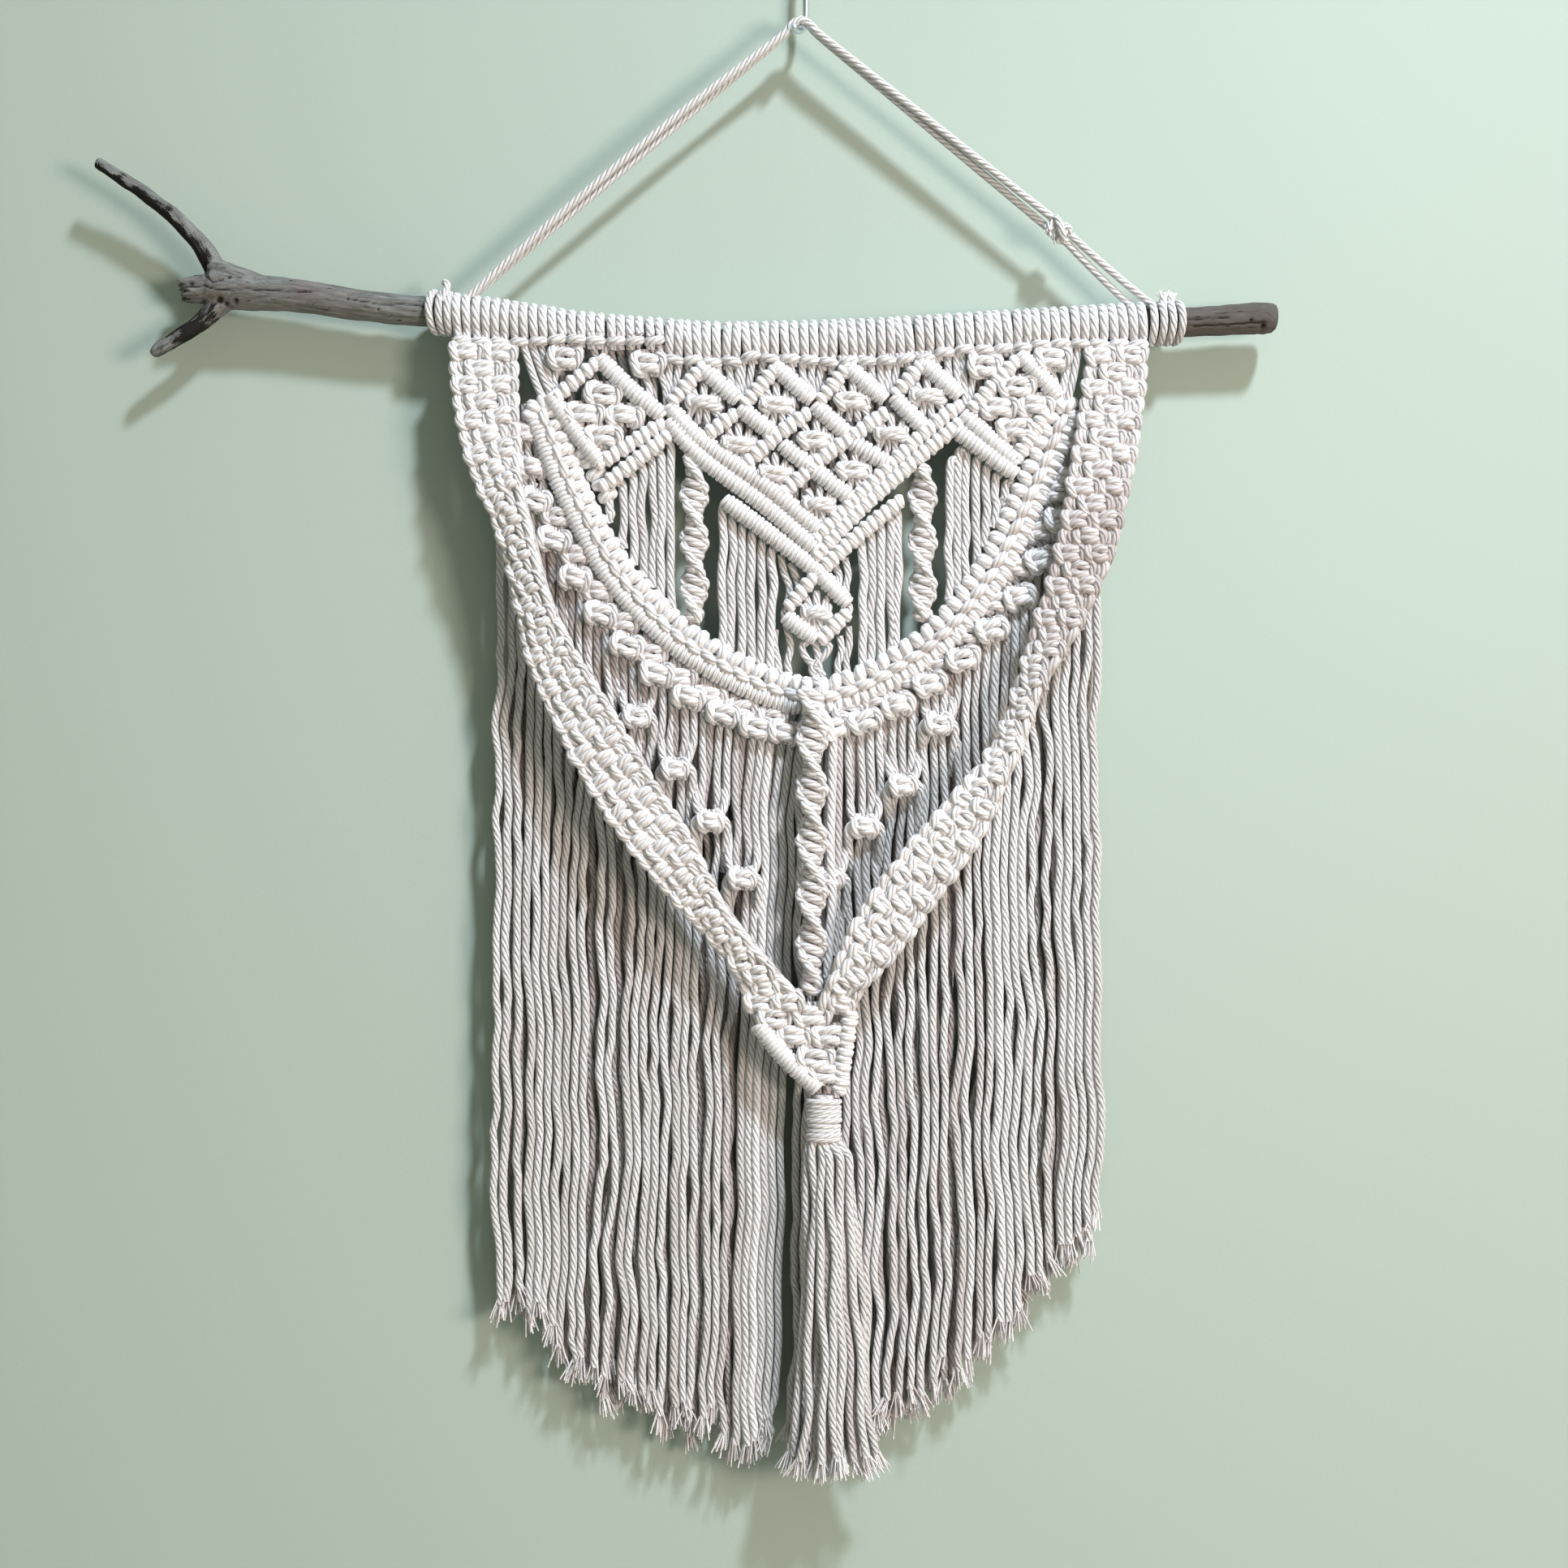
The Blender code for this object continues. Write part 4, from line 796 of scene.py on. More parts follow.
hangerKnot()
cordEnds("cutEndLeft", "tie_left", stemHeight(-169.0),
         [[(-170.2, -24.0, 4.0), (-168.4, -21.5, 9.5), (-168.2, -18.6, 13.2), (-169.6, -16.8, 14.6)]],
         16, 0.22)
cordEnds("cutEndsRight", "tie_right", stemHeight(169.5),
         [[(166.8, -23.5, 4.5), (167.2, -20.5, 9.5), (167.6, -18.0, 12.6)],
          [(170.6, -22.5, 4.5), (171.0, -19.0, 9.5), (171.2, -17.0, 12.4)]], 17, 0.45)
print("branch wrappings made")


strap = {"turn": 0.3, "rowPitch": 8.0, "knotHeight": 0.98, "knotDepth": 0.82, "widthOfKnot": 15.6,
         "edgeOnWidth": 19.5, "sideBow": ((-0.66, -1.7), (-0.36, 0.2), (0, 0.8), (0.36, 0.2), (0.66, -1.7)),
         "runs": (-0.84, -0.6, -0.36, -0.12, 0.12, 0.36, 0.6, 0.84)}
# each row is the left edge's point and then the right edge's
strapEdges = {
    "left": [(-165.5, -22.4, -183.6, -134.6, -22.4, -185.4), (-165.3, -24.5, -203.0, -134.2, -24.5, -203.0),
        (-158.8, -28.5, -235.6, -133.0, -31.0, -230.0), (-149.3, -27.0, -258.4, -131.6, -39.0, -251.0),
        (-140.0, -25.5, -281.2, -125.8, -43.0, -275.5), (-134.1, -26.0, -305.9, -119.8, -43.5, -299.0),
        (-129.6, -28.5, -327.0, -110.3, -43.0, -321.5), (-120.5, -32.5, -352.3, -98.5, -41.5, -341.5),
        (-106.4, -35.5, -380.8, -83.6, -40.0, -365.0), (-92.7, -36.5, -403.9, -70.0, -39.0, -388.5),
        (-74.5, -35.0, -428.6, -54.3, -39.0, -412.7), (-53.0, -28.5, -452.5, -38.0, -41.0, -445.0),
        (-34.5, -25.5, -473.5, -18.5, -41.0, -470.5), (-26.3, -27.0, -494.0, 2.0, -36.0, -494.0)],
    "right": [(131.1, -22.4, -187.2, 158.8, -22.4, -185.6), (129.6, -24.5, -203.0, 157.7, -24.5, -203.0),
        (124.2, -29.0, -235.6, 153.1, -29.0, -235.6), (120.4, -31.5, -258.4, 147.8, -32.5, -258.4),
        (116.6, -31.5, -279.0, 143.3, -36.5, -279.0), (110.8, -28.5, -302.0, 133.8, -41.0, -302.0),
        (103.0, -25.5, -326.8, 121.2, -43.5, -326.0), (96.5, -25.5, -349.6, 108.5, -44.5, -346.0),
        (88.6, -27.0, -371.0, 100.7, -44.0, -369.0), (75.2, -31.0, -387.6, 91.8, -42.5, -390.0),
        (61.9, -35.5, -401.7, 80.6, -39.5, -414.2), (42.2, -37.0, -423.7, 60.0, -38.0, -443.5),
        (25.8, -37.5, -447.3, 43.0, -37.0, -466.5), (13.6, -37.5, -471.6, 27.0, -33.5, -484.5),
        (5.2, -36.0, -494.0, 21.0, -28.5, -494.0)]}


def makeStrap(name, side, node, seed):
    edges = smoothPath(strapEdges[side], 14)
    meanY = (edges[:, 1] + edges[:, 4]) / 2
    for k in (1, 4):
        edges[:, k] = meanY + strap["turn"] * (edges[:, k] - meanY)
    middle = (edges[:, :3] + edges[:, 3:]) / 2
    s = lengths(middle)

    def at(d, u, lift=0.0):
        # a point on the strap d mm down it and u of its half width across, with its directions
        d = min(max(d, 0.0), s[-1])
        here = pointAt(edges, s, d)
        side = here[3:] - here[:3]
        width = np.linalg.norm(side)
        side /= width
        up = pointAt(middle, s, d - 3) - pointAt(middle, s, d + 3)
        up /= np.linalg.norm(up)
        up -= side * np.dot(up, side)
        up /= np.linalg.norm(up)
        out = np.cross(side, up)
        point = (here[:3] + here[3:]) / 2 + side * (u * width / 2) + out * lift
        return point, side, out, width

    def tone(d):
        # painted shade: the middle of the right strap looks away from the lamp, so it is painted duller
        return 0.05 + (0.6 if side == "right" else 0.1) * math.exp(-((d - 95.0) / 75.0) ** 2)

    rows = int(round(s[-1] / strap["rowPitch"]))
    pitch = s[-1] / rows
    places, runs = [], []
    for k in range(rows):
        d = (k + 0.5) * pitch
        even = k % 2 == 0
        # where the strap is seen nearly edge on, single knots lie left and right by turns
        narrow = at(d, 0)[3] < strap["edgeOnWidth"]
        if narrow:
            spots, wide, tall = ((0.22 if even else -0.22,), 1.45, 1.1)
        else:
            spots, wide, tall = ((-0.5, 0.5), 1.06, 1) if even else ((0.0,), 1.16, 1)
        for u in spots:
            point, across, out, width = at(d, u)
            size = (width / 2 / strap["widthOfKnot"] * wide, strap["knotHeight"] * pitch / 8.0 * tall,
                    strap["knotDepth"])
            places.append((point, across, out, size, tone(d) + 0.12 * rng.random()))
        # the outer cords bow past the middle knot
        free = ((-1, 0.85, 2.3), (1, 0.85, 2.3), (-1, 0.64, 2.1), (1, 0.64, 2.1))
        if narrow:
            free = ((-1 if even else 1, 0.8, 2.3),)
        for sign, place, radius in () if even and not narrow else free:
            sunk = 0.5 if place < 0.8 else 0
            line = [at(d + t * pitch, sign * (place + 0.09 * b), 0.9 + 1.1 * b - sunk)[0]
                    for t, b in strap["sideBow"]]
            runs.append(cord(line, radius, tone(d) + 0.15 * rng.random()))
    # the cords that run behind the knots, painted darker: painted shade
    for u in strap["runs"]:
        line = [at(d, u, 0.5 if abs(u) == 0.6 else -0.9)[0] for d in np.linspace(0, s[-1], 60)]
        runs.append(cord(line, 1.9, 0.5, steps=1))
    order = rng.permutation(len(places))
    parts = [sweepCords(name + "Runs", runs)]
    parts += tieKnots(name + "Knots", closeKnots, [places[k] for k in order], uneven=0.06, seed=seed)
    finishPiece(name, parts, [node])


makeStrap("strapLeft", "left", "strap_left", 3)
makeStrap("strapRight", "right", "strap_right", 5)


panel = {"y": -22.4, "barsY": -23.6, "backRadius": 1.9}


def netPlaces(knots, size, y=panel["y"], shade=0.08, tilt=0.0):
    # a knot at every x, z, each turned and toned a little by chance
    out = []
    for x, z in knots:
        a = tilt + 0.08 * (rng.random() - 0.5)
        across = (math.cos(a), 0, math.sin(a))
        out.append(((x, y, z), across, towardsRoom, size, shade + 0.1 * rng.random()))
    return out


def drops(lines, y, shade=0.15, radius=1.9):
    # short runs of cord between the knots: lists of x, z
    return [cord(onPanel(line, y), radius, shade + 0.1 * rng.random(), 3 if len(line) > 2 else 2)
            for line in lines]


def makePanel(name, node, bars, backs, knots, hung):
    # backs: lines that lie behind, at what distance, and their painted shade; knots: shapes, points, size and
    # seed;
    # hung: lines of free cord and how far behind the knots they lie
    parts = hitchBars(name, bars, panel["barsY"])
    for lines, away, shade in backs:
        y = panel["y"] + away
        # painted shade: the lines behind are painted darker
        dullAndShaded = [cord(onPanel(line, y), panel["backRadius"], shade + 0.2 * rng.random(), 3) for line in lines]
        parts.append(sweepCords(name + "Backs", dullAndShaded))
    for shapes, points, size, seed in knots:
        parts += tieKnots(name + "Knots", shapes, netPlaces(points, size), seed=seed)
    free = [c for lines, away in hung for c in drops(lines, panel["y"] + away)]
    parts.append(sweepCords(name + "Drops", free))
    finishPiece(name, parts, [node])


diamondLeft = {
    "bars": [[(-95.8, -191.9), (-81.7, -206.0), (-67.6, -217.7)], [(-98.4, -193.8), (-116.3, -209.0)],
        [(-118.9, -209.4), (-106.8, -226.1), (-95.8, -240.5)], [(-67.6, -221.9), (-96.5, -240.5)],
        [(-65.0, -227.6), (-94.6, -250.8)]], "topKnots": [(-112.5, -190.8), (-73.3, -193.4)],
    "knots": [(-94.6, -207.9), (-103.0, -217.0), (-84.7, -217.7), (-94.2, -227.6)],
    "drops": [[(-123.9, -183.9), (-120.5, -198.4), (-117.4, -208.2)], [(-99.9, -183.9), (-97.7, -192.3)],
        [(-93.1, -183.9), (-95.4, -192.3)], [(-82.8, -183.9), (-79.4, -191.9)],
        [(-67.6, -184.7), (-68.8, -190.8)], [(-115.1, -194.6), (-117.8, -201.4), (-115.1, -208.2)],
        [(-109.1, -194.6), (-105.3, -199.9)], [(-76.4, -196.8), (-73.3, -204.4), (-73.3, -212.8)],
        [(-68.8, -196.1), (-65.7, -205.2), (-65.0, -215.8)],
        [(-117.4, -210.5), (-112.1, -216.6), (-109.1, -228.0)],
        [(-87.0, -201.4), (-77.1, -214.7), (-77.9, -224.2)], [(-94.2, -231.0), (-94.2, -239.4)]]}
diamondRight = {
    "bars": [[(100.3, -190.0), (109.1, -199.1), (116.7, -208.2)], [(97.7, -192.7), (77.9, -214.3)],
        [(74.1, -218.1), (97.7, -239.4)], [(69.5, -224.2), (96.9, -244.7)],
        [(111.3, -217.4), (98.4, -237.5)]], "topKnots": [(83.2, -194.6), (115.5, -191.1)],
    "knots": [(98.4, -204.4), (90.1, -213.9), (106.8, -213.2), (97.7, -224.2)],
    "drops": [[(72.6, -187.0), (73.7, -201.4), (74.9, -215.8)], [(95.4, -183.9), (97.7, -191.5)],
        [(102.2, -183.9), (99.9, -191.5)], [(88.2, -186.2), (87.0, -191.9)],
        [(109.1, -184.7), (112.9, -190.0)], [(78.7, -196.8), (77.1, -205.2), (76.4, -214.7)],
        [(85.5, -197.6), (84.7, -205.2)], [(113.6, -194.6), (115.9, -200.6), (118.2, -209.0)],
        [(118.9, -193.8), (121.2, -201.4), (119.7, -209.8)],
        [(90.8, -201.4), (81.7, -215.8), (84.0, -224.2)],
        [(112.1, -210.5), (112.1, -220.4), (108.3, -228.0)], [(97.7, -228.0), (97.7, -237.9)]]}
# the cords that fall behind each diamond: the x and the lower end of every one
behind = {
    "diamondLeft": [[(x, -187.0), (x + 2.5, -203.0), (x + 1.0, low)] for x, low in (
        (-116.0, -205.0), (-111.5, -212.0), (-106.0, -222.0), (-101.0, -233.0), (-96.0, -242.0),
        (-91.5, -240.0), (-87.0, -235.0), (-82.5, -231.0), (-78.0, -227.0), (-73.5, -223.0))],
    "diamondRight": [[(x, -187.0), (x - 2.5, -203.0), (x - 1.0, low)] for x, low in (
        (79.0, -217.0), (83.5, -222.0), (88.0, -227.0), (92.5, -232.0), (97.0, -237.0),
        (101.5, -231.0), (106.0, -225.0), (110.5, -217.0), (115.0, -209.0))]}
# the cords behind each diamond are painted darker: painted shade
for name, node, made, seed in (("diamondLeft", "diamond_left", diamondLeft, 11),
                               ("diamondRight", "diamond_right", diamondRight, 12)):
    makePanel(name, node, made["bars"], [(behind[name], 3.6, 0.75)],
              [(closeKnots, made["knots"], (1.15, 1.08, 0.9), seed),
               (closeKnots, made["topKnots"], (1.05, 1.15, 0.9), seed + 20)], [(made["drops"], 0.6)])

net = {
    "bars": [[(-63.5, -214.3), (-49.0, -229.5), (-17.5, -251.6), (4.9, -270.6)],
        [(-63.5, -221.2), (-48.3, -237.9), (-20.1, -259.2), (4.2, -279.7)],
        [(-37.2, -258.0), (-16.3, -273.6), (4.2, -289.6)], [(-48.3, -196.1), (-32.7, -210.1)],
        [(-30.0, -215.1), (-14.8, -226.9)], [(-10.3, -232.2), (21.3, -256.9)],
        [(-14.1, -195.3), (1.9, -210.1)], [(4.9, -213.9), (19.4, -226.9)], [(21.3, -230.3), (39.1, -241.3)],
        [(19.4, -195.3), (35.7, -209.8)], [(41.8, -210.1), (55.5, -224.2)],
        [(54.3, -193.0), (70.7, -207.9)], [(-48.3, -195.3), (-62.3, -211.3)],
        [(-14.8, -196.8), (-28.5, -212.4)], [(-33.8, -217.7), (-48.3, -228.4)],
        [(17.9, -197.2), (6.8, -210.5)], [(0.4, -217.0), (-14.8, -228.4), (-30.0, -242.1)],
        [(53.2, -194.9), (41.8, -207.9)], [(36.5, -217.0), (20.5, -228.4), (7.2, -237.9), (-10.3, -253.8)],
        [(71.4, -213.6), (56.2, -225.0), (25.8, -254.6), (4.9, -275.1)],
        [(71.1, -221.9), (52.1, -237.9), (25.5, -261.4), (4.9, -283.5)],
        [(43.7, -258.0), (25.5, -272.8), (6.5, -290.3)]],
    "tops": [(-47.88, -195.32), (-13.68, -195.32), (18.62, -195.7), (54.34, -193.8)],
    "knots": [(-47.9, -212.4), (-13.3, -212.8), (21.7, -211.3), (56.6, -209.4), (-31.2, -231.4),
        (4.6, -229.5), (39.9, -227.2), (-14.1, -245.1), (22.4, -243.6), (6.1, -259.9)]}
# four groups of short cords join the net to the heading
group = (((2.4, 6), (1.6, 0)), ((11.5, 5), (12.5, -5), (15.0, -14)), ((15.8, 5), (16.2, -4), (16.8, -14)),
         ((6.6, 6), (6.8, -3)))
topDrops = [[(x + side * a, z + up) for a, up in line]
            for x, z in net["tops"] for side in (-1, 1) for line in group]
# a mat of straight cords behind the net ends in a point, like the net; it is painted darker: painted shade
mat = {"left": -57.5, "right": 68, "pitch": 4.35, "pointX": 4, "pointZ": -277.0, "slope": 0.93}
matCords = [[(x, -196.0), (x + 0.6, -208.0), (x, mat["pointZ"] + mat["slope"] * abs(x - mat["pointX"]))]
            for x in np.arange(mat["left"], mat["right"], mat["pitch"])]
makePanel("centreNet", "centre_net", net["bars"], [(matCords, 3.2, 0.55)],
          [(netKnots, net["knots"], (1.15, 1.0, 0.95), 13)], [(topDrops, 0.6)])

small = {
    "bars": [[(6.5, -291.8), (18.6, -304.8)], [(3.4, -293.4), (-8.0, -307.0)],
        [(-8.7, -312.4), (3.4, -321.5)], [(18.6, -310.8), (7.2, -322.2)]], "knots": [(4.9, -310.5)],
    "drops": [[(-8.0, -307.0), (-10.3, -310.1), (-8.7, -313.1)],
        [(18.6, -304.8), (20.5, -308.2), (18.6, -311.6)],
        [(1.1, -323.0), (-1.9, -326.0), (0.4, -331.4), (5.7, -335.9), (8.0, -339.7)],
        [(7.2, -323.0), (11.0, -325.7), (8.0, -330.6), (2.7, -335.2), (4.2, -340.5)],
        [(3.4, -322.2), (4.9, -326.8), (5.7, -331.4), (6.5, -339.7)]]}
sideCords = [[(-14.3, -317.6), (-14.8, -324.7), (-13.3, -331.8), (-12.3, -338.6)],
    [(-9.5, -314.6), (-7.2, -325.7), (-8.7, -332.9), (-7.7, -338.6)],
    [(15.7, -320.7), (16.7, -327.8), (14.7, -333.9), (15.2, -338.6)],
    [(19.8, -316.2), (20.3, -324.7), (18.7, -331.8), (19.3, -336.7)],
    [(-11.8, -282.7), (-10.3, -291.1), (-7.7, -298.2), (-8.7, -305.9)],
    [(-7.4, -286.5), (-4.7, -293.1), (-3.2, -299.2)], [(12.9, -286.5), (15.7, -293.1), (13.9, -298.2)],
    [(18.2, -284.2), (19.8, -292.1), (18.7, -298.2), (19.5, -307.0)]]
makePanel("smallDiamond", "small_diamond", small["bars"], [],
          [(netKnots, small["knots"], (1.0, 1.0, 0.9), 14)], [(small["drops"], 0.0), (sideCords, 2.2)])

# the two bare cords that hold each end of the band
pairs = {
    "pairLeft": ("pair_left", [[(-132.2, -183.9), (-127.3, -199.5), (-121.6, -212.8)],
                               [(-128.4, -183.9), (-123.1, -198.7), (-117.8, -212.0)]]),
    "pairRight": ("pair_right", [[(123.1, -185.4), (121.2, -199.5), (118.2, -212.0)],
                                 [(127.3, -185.4), (125.0, -199.5), (122.0, -212.0)]])}
for name, (node, lines) in pairs.items():
    finishPiece(name, [sweepCords(name, drops(lines, panel["y"] - 0.2, 0.1, 1.85), sides=8)], [node])
print("net made")


band = {"y": -20.4, "inner": -4.5, "chain": 0.7, "outer": 5.2, "beadPitch": 6.2, "linkPitch": 8.6,
        "ropeY": -21.0, "widest": -252, "widestSpan": 38, "linkRadius": (1.3, 1.15)}
bandMiddle = smoothPath([(-123.0, -214.5), (-116.0, -233.0), (-106.5, -256.0), (-85.0, -294.0),
        (-48.5, -328.0), (4.0, -348.6), (54.0, -327.0), (84.0, -294.0), (103.5, -256.0), (113.5, -233.0),
        (120.5, -214.5)], 16)


def offsetLine(line, distance):
    # the line moved away from the inside of the curve
    line = np.asarray(line, float)
    ahead = np.vstack([line[1:], line[-1:]])
    behind = np.vstack([line[:1], line[:-1]])
    along = (ahead - behind) / np.linalg.norm(ahead - behind, axis=1)[:, None]
    return line + np.column_stack([along[:, 1], -along[:, 0]]) * distance


bandLine = evenPath(bandMiddle, 1.0)


def lineHeight(line, x):
    return float(np.interp(x, line[:, 0], line[:, 1]))


def makeBand():
    middleRow = len(bandLine) // 2
    outerLine, innerLine = offsetLine(bandLine, band["outer"]), offsetLine(bandLine, band["inner"])
    leftRope, rightRope = outerLine[:middleRow + 1], outerLine[middleRow + 4:]
    # the cores under the hitches and beads are painted darker: painted shade
    cores = ((leftRope, band["ropeY"], 2.9, 0.3), (rightRope, band["ropeY"], 2.6, 0.4),
             (innerLine, band["y"] - 0.2, 2.6, 0.5))
    parts = [sweepCords("bandCores", [cord(onPanel(line[::6], y), radius, shade, 1)
                                      for line, y, radius, shade in cores])]
    leftPlaces = tapered(barPlaces(leftRope[::4], band["ropeY"], 2.2, (1, 1.3, 1.25), 0.02))
    rightPlaces = tapered(barPlaces(rightRope[::4], band["ropeY"], 4.2, (1, 1.12, 1.05), 0.02))
    parts += tieKnots("bandRopeLeft", fineHitches, leftPlaces, uneven=0.03, seed=21)
    parts += tieKnots("bandRopeRight", fatHitches, rightPlaces, uneven=0.05, seed=22)
    beadPlaces = []
    for here, along, out, size, shade in barPlaces(innerLine[::4], band["ropeY"], band["beadPitch"]):
        # the band is widest high on the left
        full = math.exp(-((here[2] - band["widest"]) / band["widestSpan"]) ** 2) if here[0] < 0 else 0.0
        here = here + np.array([-along[2], 0, along[0]]) * -2.2 * full
        beadPlaces.append((here, along, out, (1, 1 + 0.35 * full, 1 + 0.1 * full), shade))
    # a few more hitches fill the corner between the band and the left diamond
    corner = [(-107.0, -226.5), (-102.4, -236.5), (-97.2, -247.0), (-91.4, -257.5)]
    beadPlaces += barPlaces(corner, band["y"] + 0.6, 5.4, (1, 1.15, 1), 0.12)
    # and both ends of the band close in a small arch under the bare pairs
    for arch in ([(-129.0, -220.5), (-127.0, -214.5), (-121.8, -211.2), (-117.2, -214.0)],
                 [(126.3, -221.0), (124.6, -215.0), (120.6, -211.4), (116.2, -214.5)]):
        beadPlaces += barPlaces(arch, band["ropeY"], 5.0, (1, 1.05, 1), 0.1)
    parts += tieKnots("bandBeads", beads, beadPlaces, sides=8, uneven=0.07, seed=23)
    links = []
    chain = offsetLine(bandLine, band["chain"])[::4]
    for here, along, out, size, shade in barPlaces(chain, band["y"] + 0.3, band["linkPitch"]):
        across = np.array([along[2], 0, -along[0]])
        path = smoothPath(offsets(here, along, across, (
            (-6.4, -1.2, 0.4), (-3.6, -0.9, 2.8), (-0.5, 0.0, 4.1), (2.6, 0.9, 3.4), (5.2, 1.4, 0.6))), 4)
        thin, fuller = band["linkRadius"]
        radius = thin + fuller * np.sin(np.pi * np.linspace(0.05, 0.95, len(path)))
        links.append({"path": path, "radius": radius, "shade": 0.15 + 0.15 * rng.random()})
    parts.append(sweepCords("bandLinks", links, sides=8))
    # the strand that crosses the band in the middle
    crossing = [(-0.4, -23.6, -341.2), (1.5, -28.8, -348.1), (6.1, -30.4, -355.7), (10.3, -29.6, -362.1),
                (11.0, -27.2, -369.4)]
    second = [(4.2, -23.0, -340.5), (7.2, -27.6, -346.6), (3.0, -28.6, -351.9), (-0.4, -24.0, -357.2)]
    strands = [cord(crossing, 2.5, 0.0, 5), cord(second, 2.2, 0.05, 5)]
    parts.append(sweepCords("bandCrossing", strands, sides=8))
    finishPiece("curvedBand", parts, ["smile_band"])


makeBand()


rowsY = -19.6
knotRows = {
    "left": {
        "inner": [(-116.3, -264.5), (-107.2, -282.0), (-96.9, -299.4), (-84.7, -313.9), (-71.8, -328.7),
            (-58.5, -339.7), (-44.5, -348.8), (-30.0, -354.9), (-15.6, -358.7)],
        "outer": [(-126.5, -257.6), (-117.4, -275.9), (-107.9, -293.4), (-95.8, -310.5), (-83.6, -325.3),
            (-69.2, -338.2), (-54.7, -348.8), (-38.4, -357.2), (-23.2, -363.3), (-9.5, -365.6)],
        "loose": [(-79.0, -358.3), (-60.8, -382.7), (-44.8, -407.0), (-29.6, -434.0)],
        "beside": [[(-136.0, -213.0), (-134.5, -230.0), (-131.0, -256.0)],
            [(-132.0, -212.0), (-131.0, -228.0), (-127.5, -254.0)],
            [(-127.5, -213.5), (-126.5, -230.0), (-122.5, -252.0)]],
        "upper": [(-131.6, -225.3), (-127.8, -241.5)]},
    "right": {
        "inner": [(116.7, -253.1), (109.8, -271.3), (99.9, -288.8), (88.5, -304.8), (75.6, -319.2),
            (61.9, -331.4), (47.5, -341.2), (33.1, -349.6), (19.4, -355.7)],
        "outer": [(118.9, -266.0), (110.6, -285.0), (99.9, -302.5), (87.0, -317.7), (73.3, -331.4),
            (58.1, -342.8), (42.9, -352.6), (27.7, -360.2), (13.3, -363.3)],
        "loose": [(61.9, -361.8), (45.6, -390.3), (27.4, -409.6), (11.4, -434.0)],
        "beside": [[(133.0, -213.0), (129.5, -232.0), (124.5, -256.0)],
            [(129.0, -212.5), (126.0, -230.0), (121.5, -254.0)],
            [(125.0, -213.5), (122.5, -230.0), (118.0, -251.0)],
            [(131.0, -214.0), (128.0, -236.0), (122.0, -262.0)]],
        "upper": [(124.5, -229.0), (121.5, -246.0)]}}


def knotRow(side, node):
    # the chains of small knots under the band, and the loose knots below them
    rows = knotRows[side]
    lean = 1 if side == "left" else -1
    # painted shade: the inner row lies behind the outer one and is painted darker, and so are the held cords
    inner = netPlaces(rows["inner"] + rows["upper"], (0.95, 1.0, 0.9), rowsY + 0.9, 0.3)
    outer = netPlaces(rows["outer"], (1.0, 1.05, 1.0), rowsY - 1.6, 0.05, -0.25 * lean)
    held = []
    for x, z in rows["inner"]:
        held += [[(x + u * 0.9 + 2.0 * lean, z + 9.5), (x + u, z + 3.0)] for u in (-5.2, -1.8, 1.8, 5.2)]
    for x, z in rows["outer"]:
        held += [[(x + u + 3.0 * lean, z + 9.0), (x + u, z + 2.5)] for u in (-3.4, 1.0)]
    parts = [sweepCords("rowsHeld" + side, drops(held + rows["beside"], rowsY + 0.8, 0.45, 1.9))]
    # the side cords of the loose knots leave and come back in wide loops
    above = ((5.4, 9, 26), (6.9, 1.0, 10), (5.2, -1.5, 3.4), (2.2, -1, 1))
    below = ((2.4, -1, 0.2), (6.0, -2.4, 0.8), (7.9, -1.2, -2.8), (7.1, 1.6, -11), (6.0, 7, -24))
    loops = []
    for x, z in rows["loose"]:
        for way in (-1, 1):
            for points, radius, shade in ((above, 2.0, 0.05), (below, 2.1, 0.0)):
                line = [(x + way * a, rowsY + b, z + c) for a, b, c in points]
                loops.append(cord(line, radius, shade, 4))
    parts.append(sweepCords("rowsLoops" + side, loops))
    loose = netPlaces(rows["loose"], (0.8, 0.95, 0.95), rowsY - 1.2, 0.0)
    for k, places in enumerate((inner, outer, loose)):
        parts += tieKnots("rowKnots" + side, closeKnots, places, seed=31 + k)
    finishPiece("knotRows" + side.title(), parts, [node])


knotRow("left", "knot_rows_left")
knotRow("right", "knot_rows_right")


curtain = {"y": -20.6, "bandEdge": -8.6, "tuckedUnder": 2.0}
innerEdge = offsetLine(bandLine, curtain["bandEdge"])
# each curtain's node, which way it falls from its bar, and the tops of its cords
curtains = {
    "curtainLeft": ("comb_left", -1,
        [(-92.0, -255.4), (-85.5, -250.8), (-80.6, -246.6), (-76.0, -242.8), (-71.8, -239.4),
            (-67.6, -236.7), (-63.1, -231.0)]),
    "curtainMidLeft": ("comb_mid_left", 1,
        [(-39.1, -260.7), (-34.6, -265.2), (-30.0, -269.8), (-25.5, -273.6), (-20.9, -277.4),
            (-16.3, -281.2)]),
    "curtainMidRight": ("comb_mid_right", -1,
        [(26.2, -278.2), (30.8, -274.4), (35.3, -270.6), (39.9, -266.8), (42.9, -263.0)]),
    "curtainRight": ("comb_right", 1,
        [(67.3, -240.2), (71.1, -235.6), (74.9, -235.6), (79.4, -239.4), (84.0, -243.2), (88.5, -247.0),
            (93.1, -250.8)])}
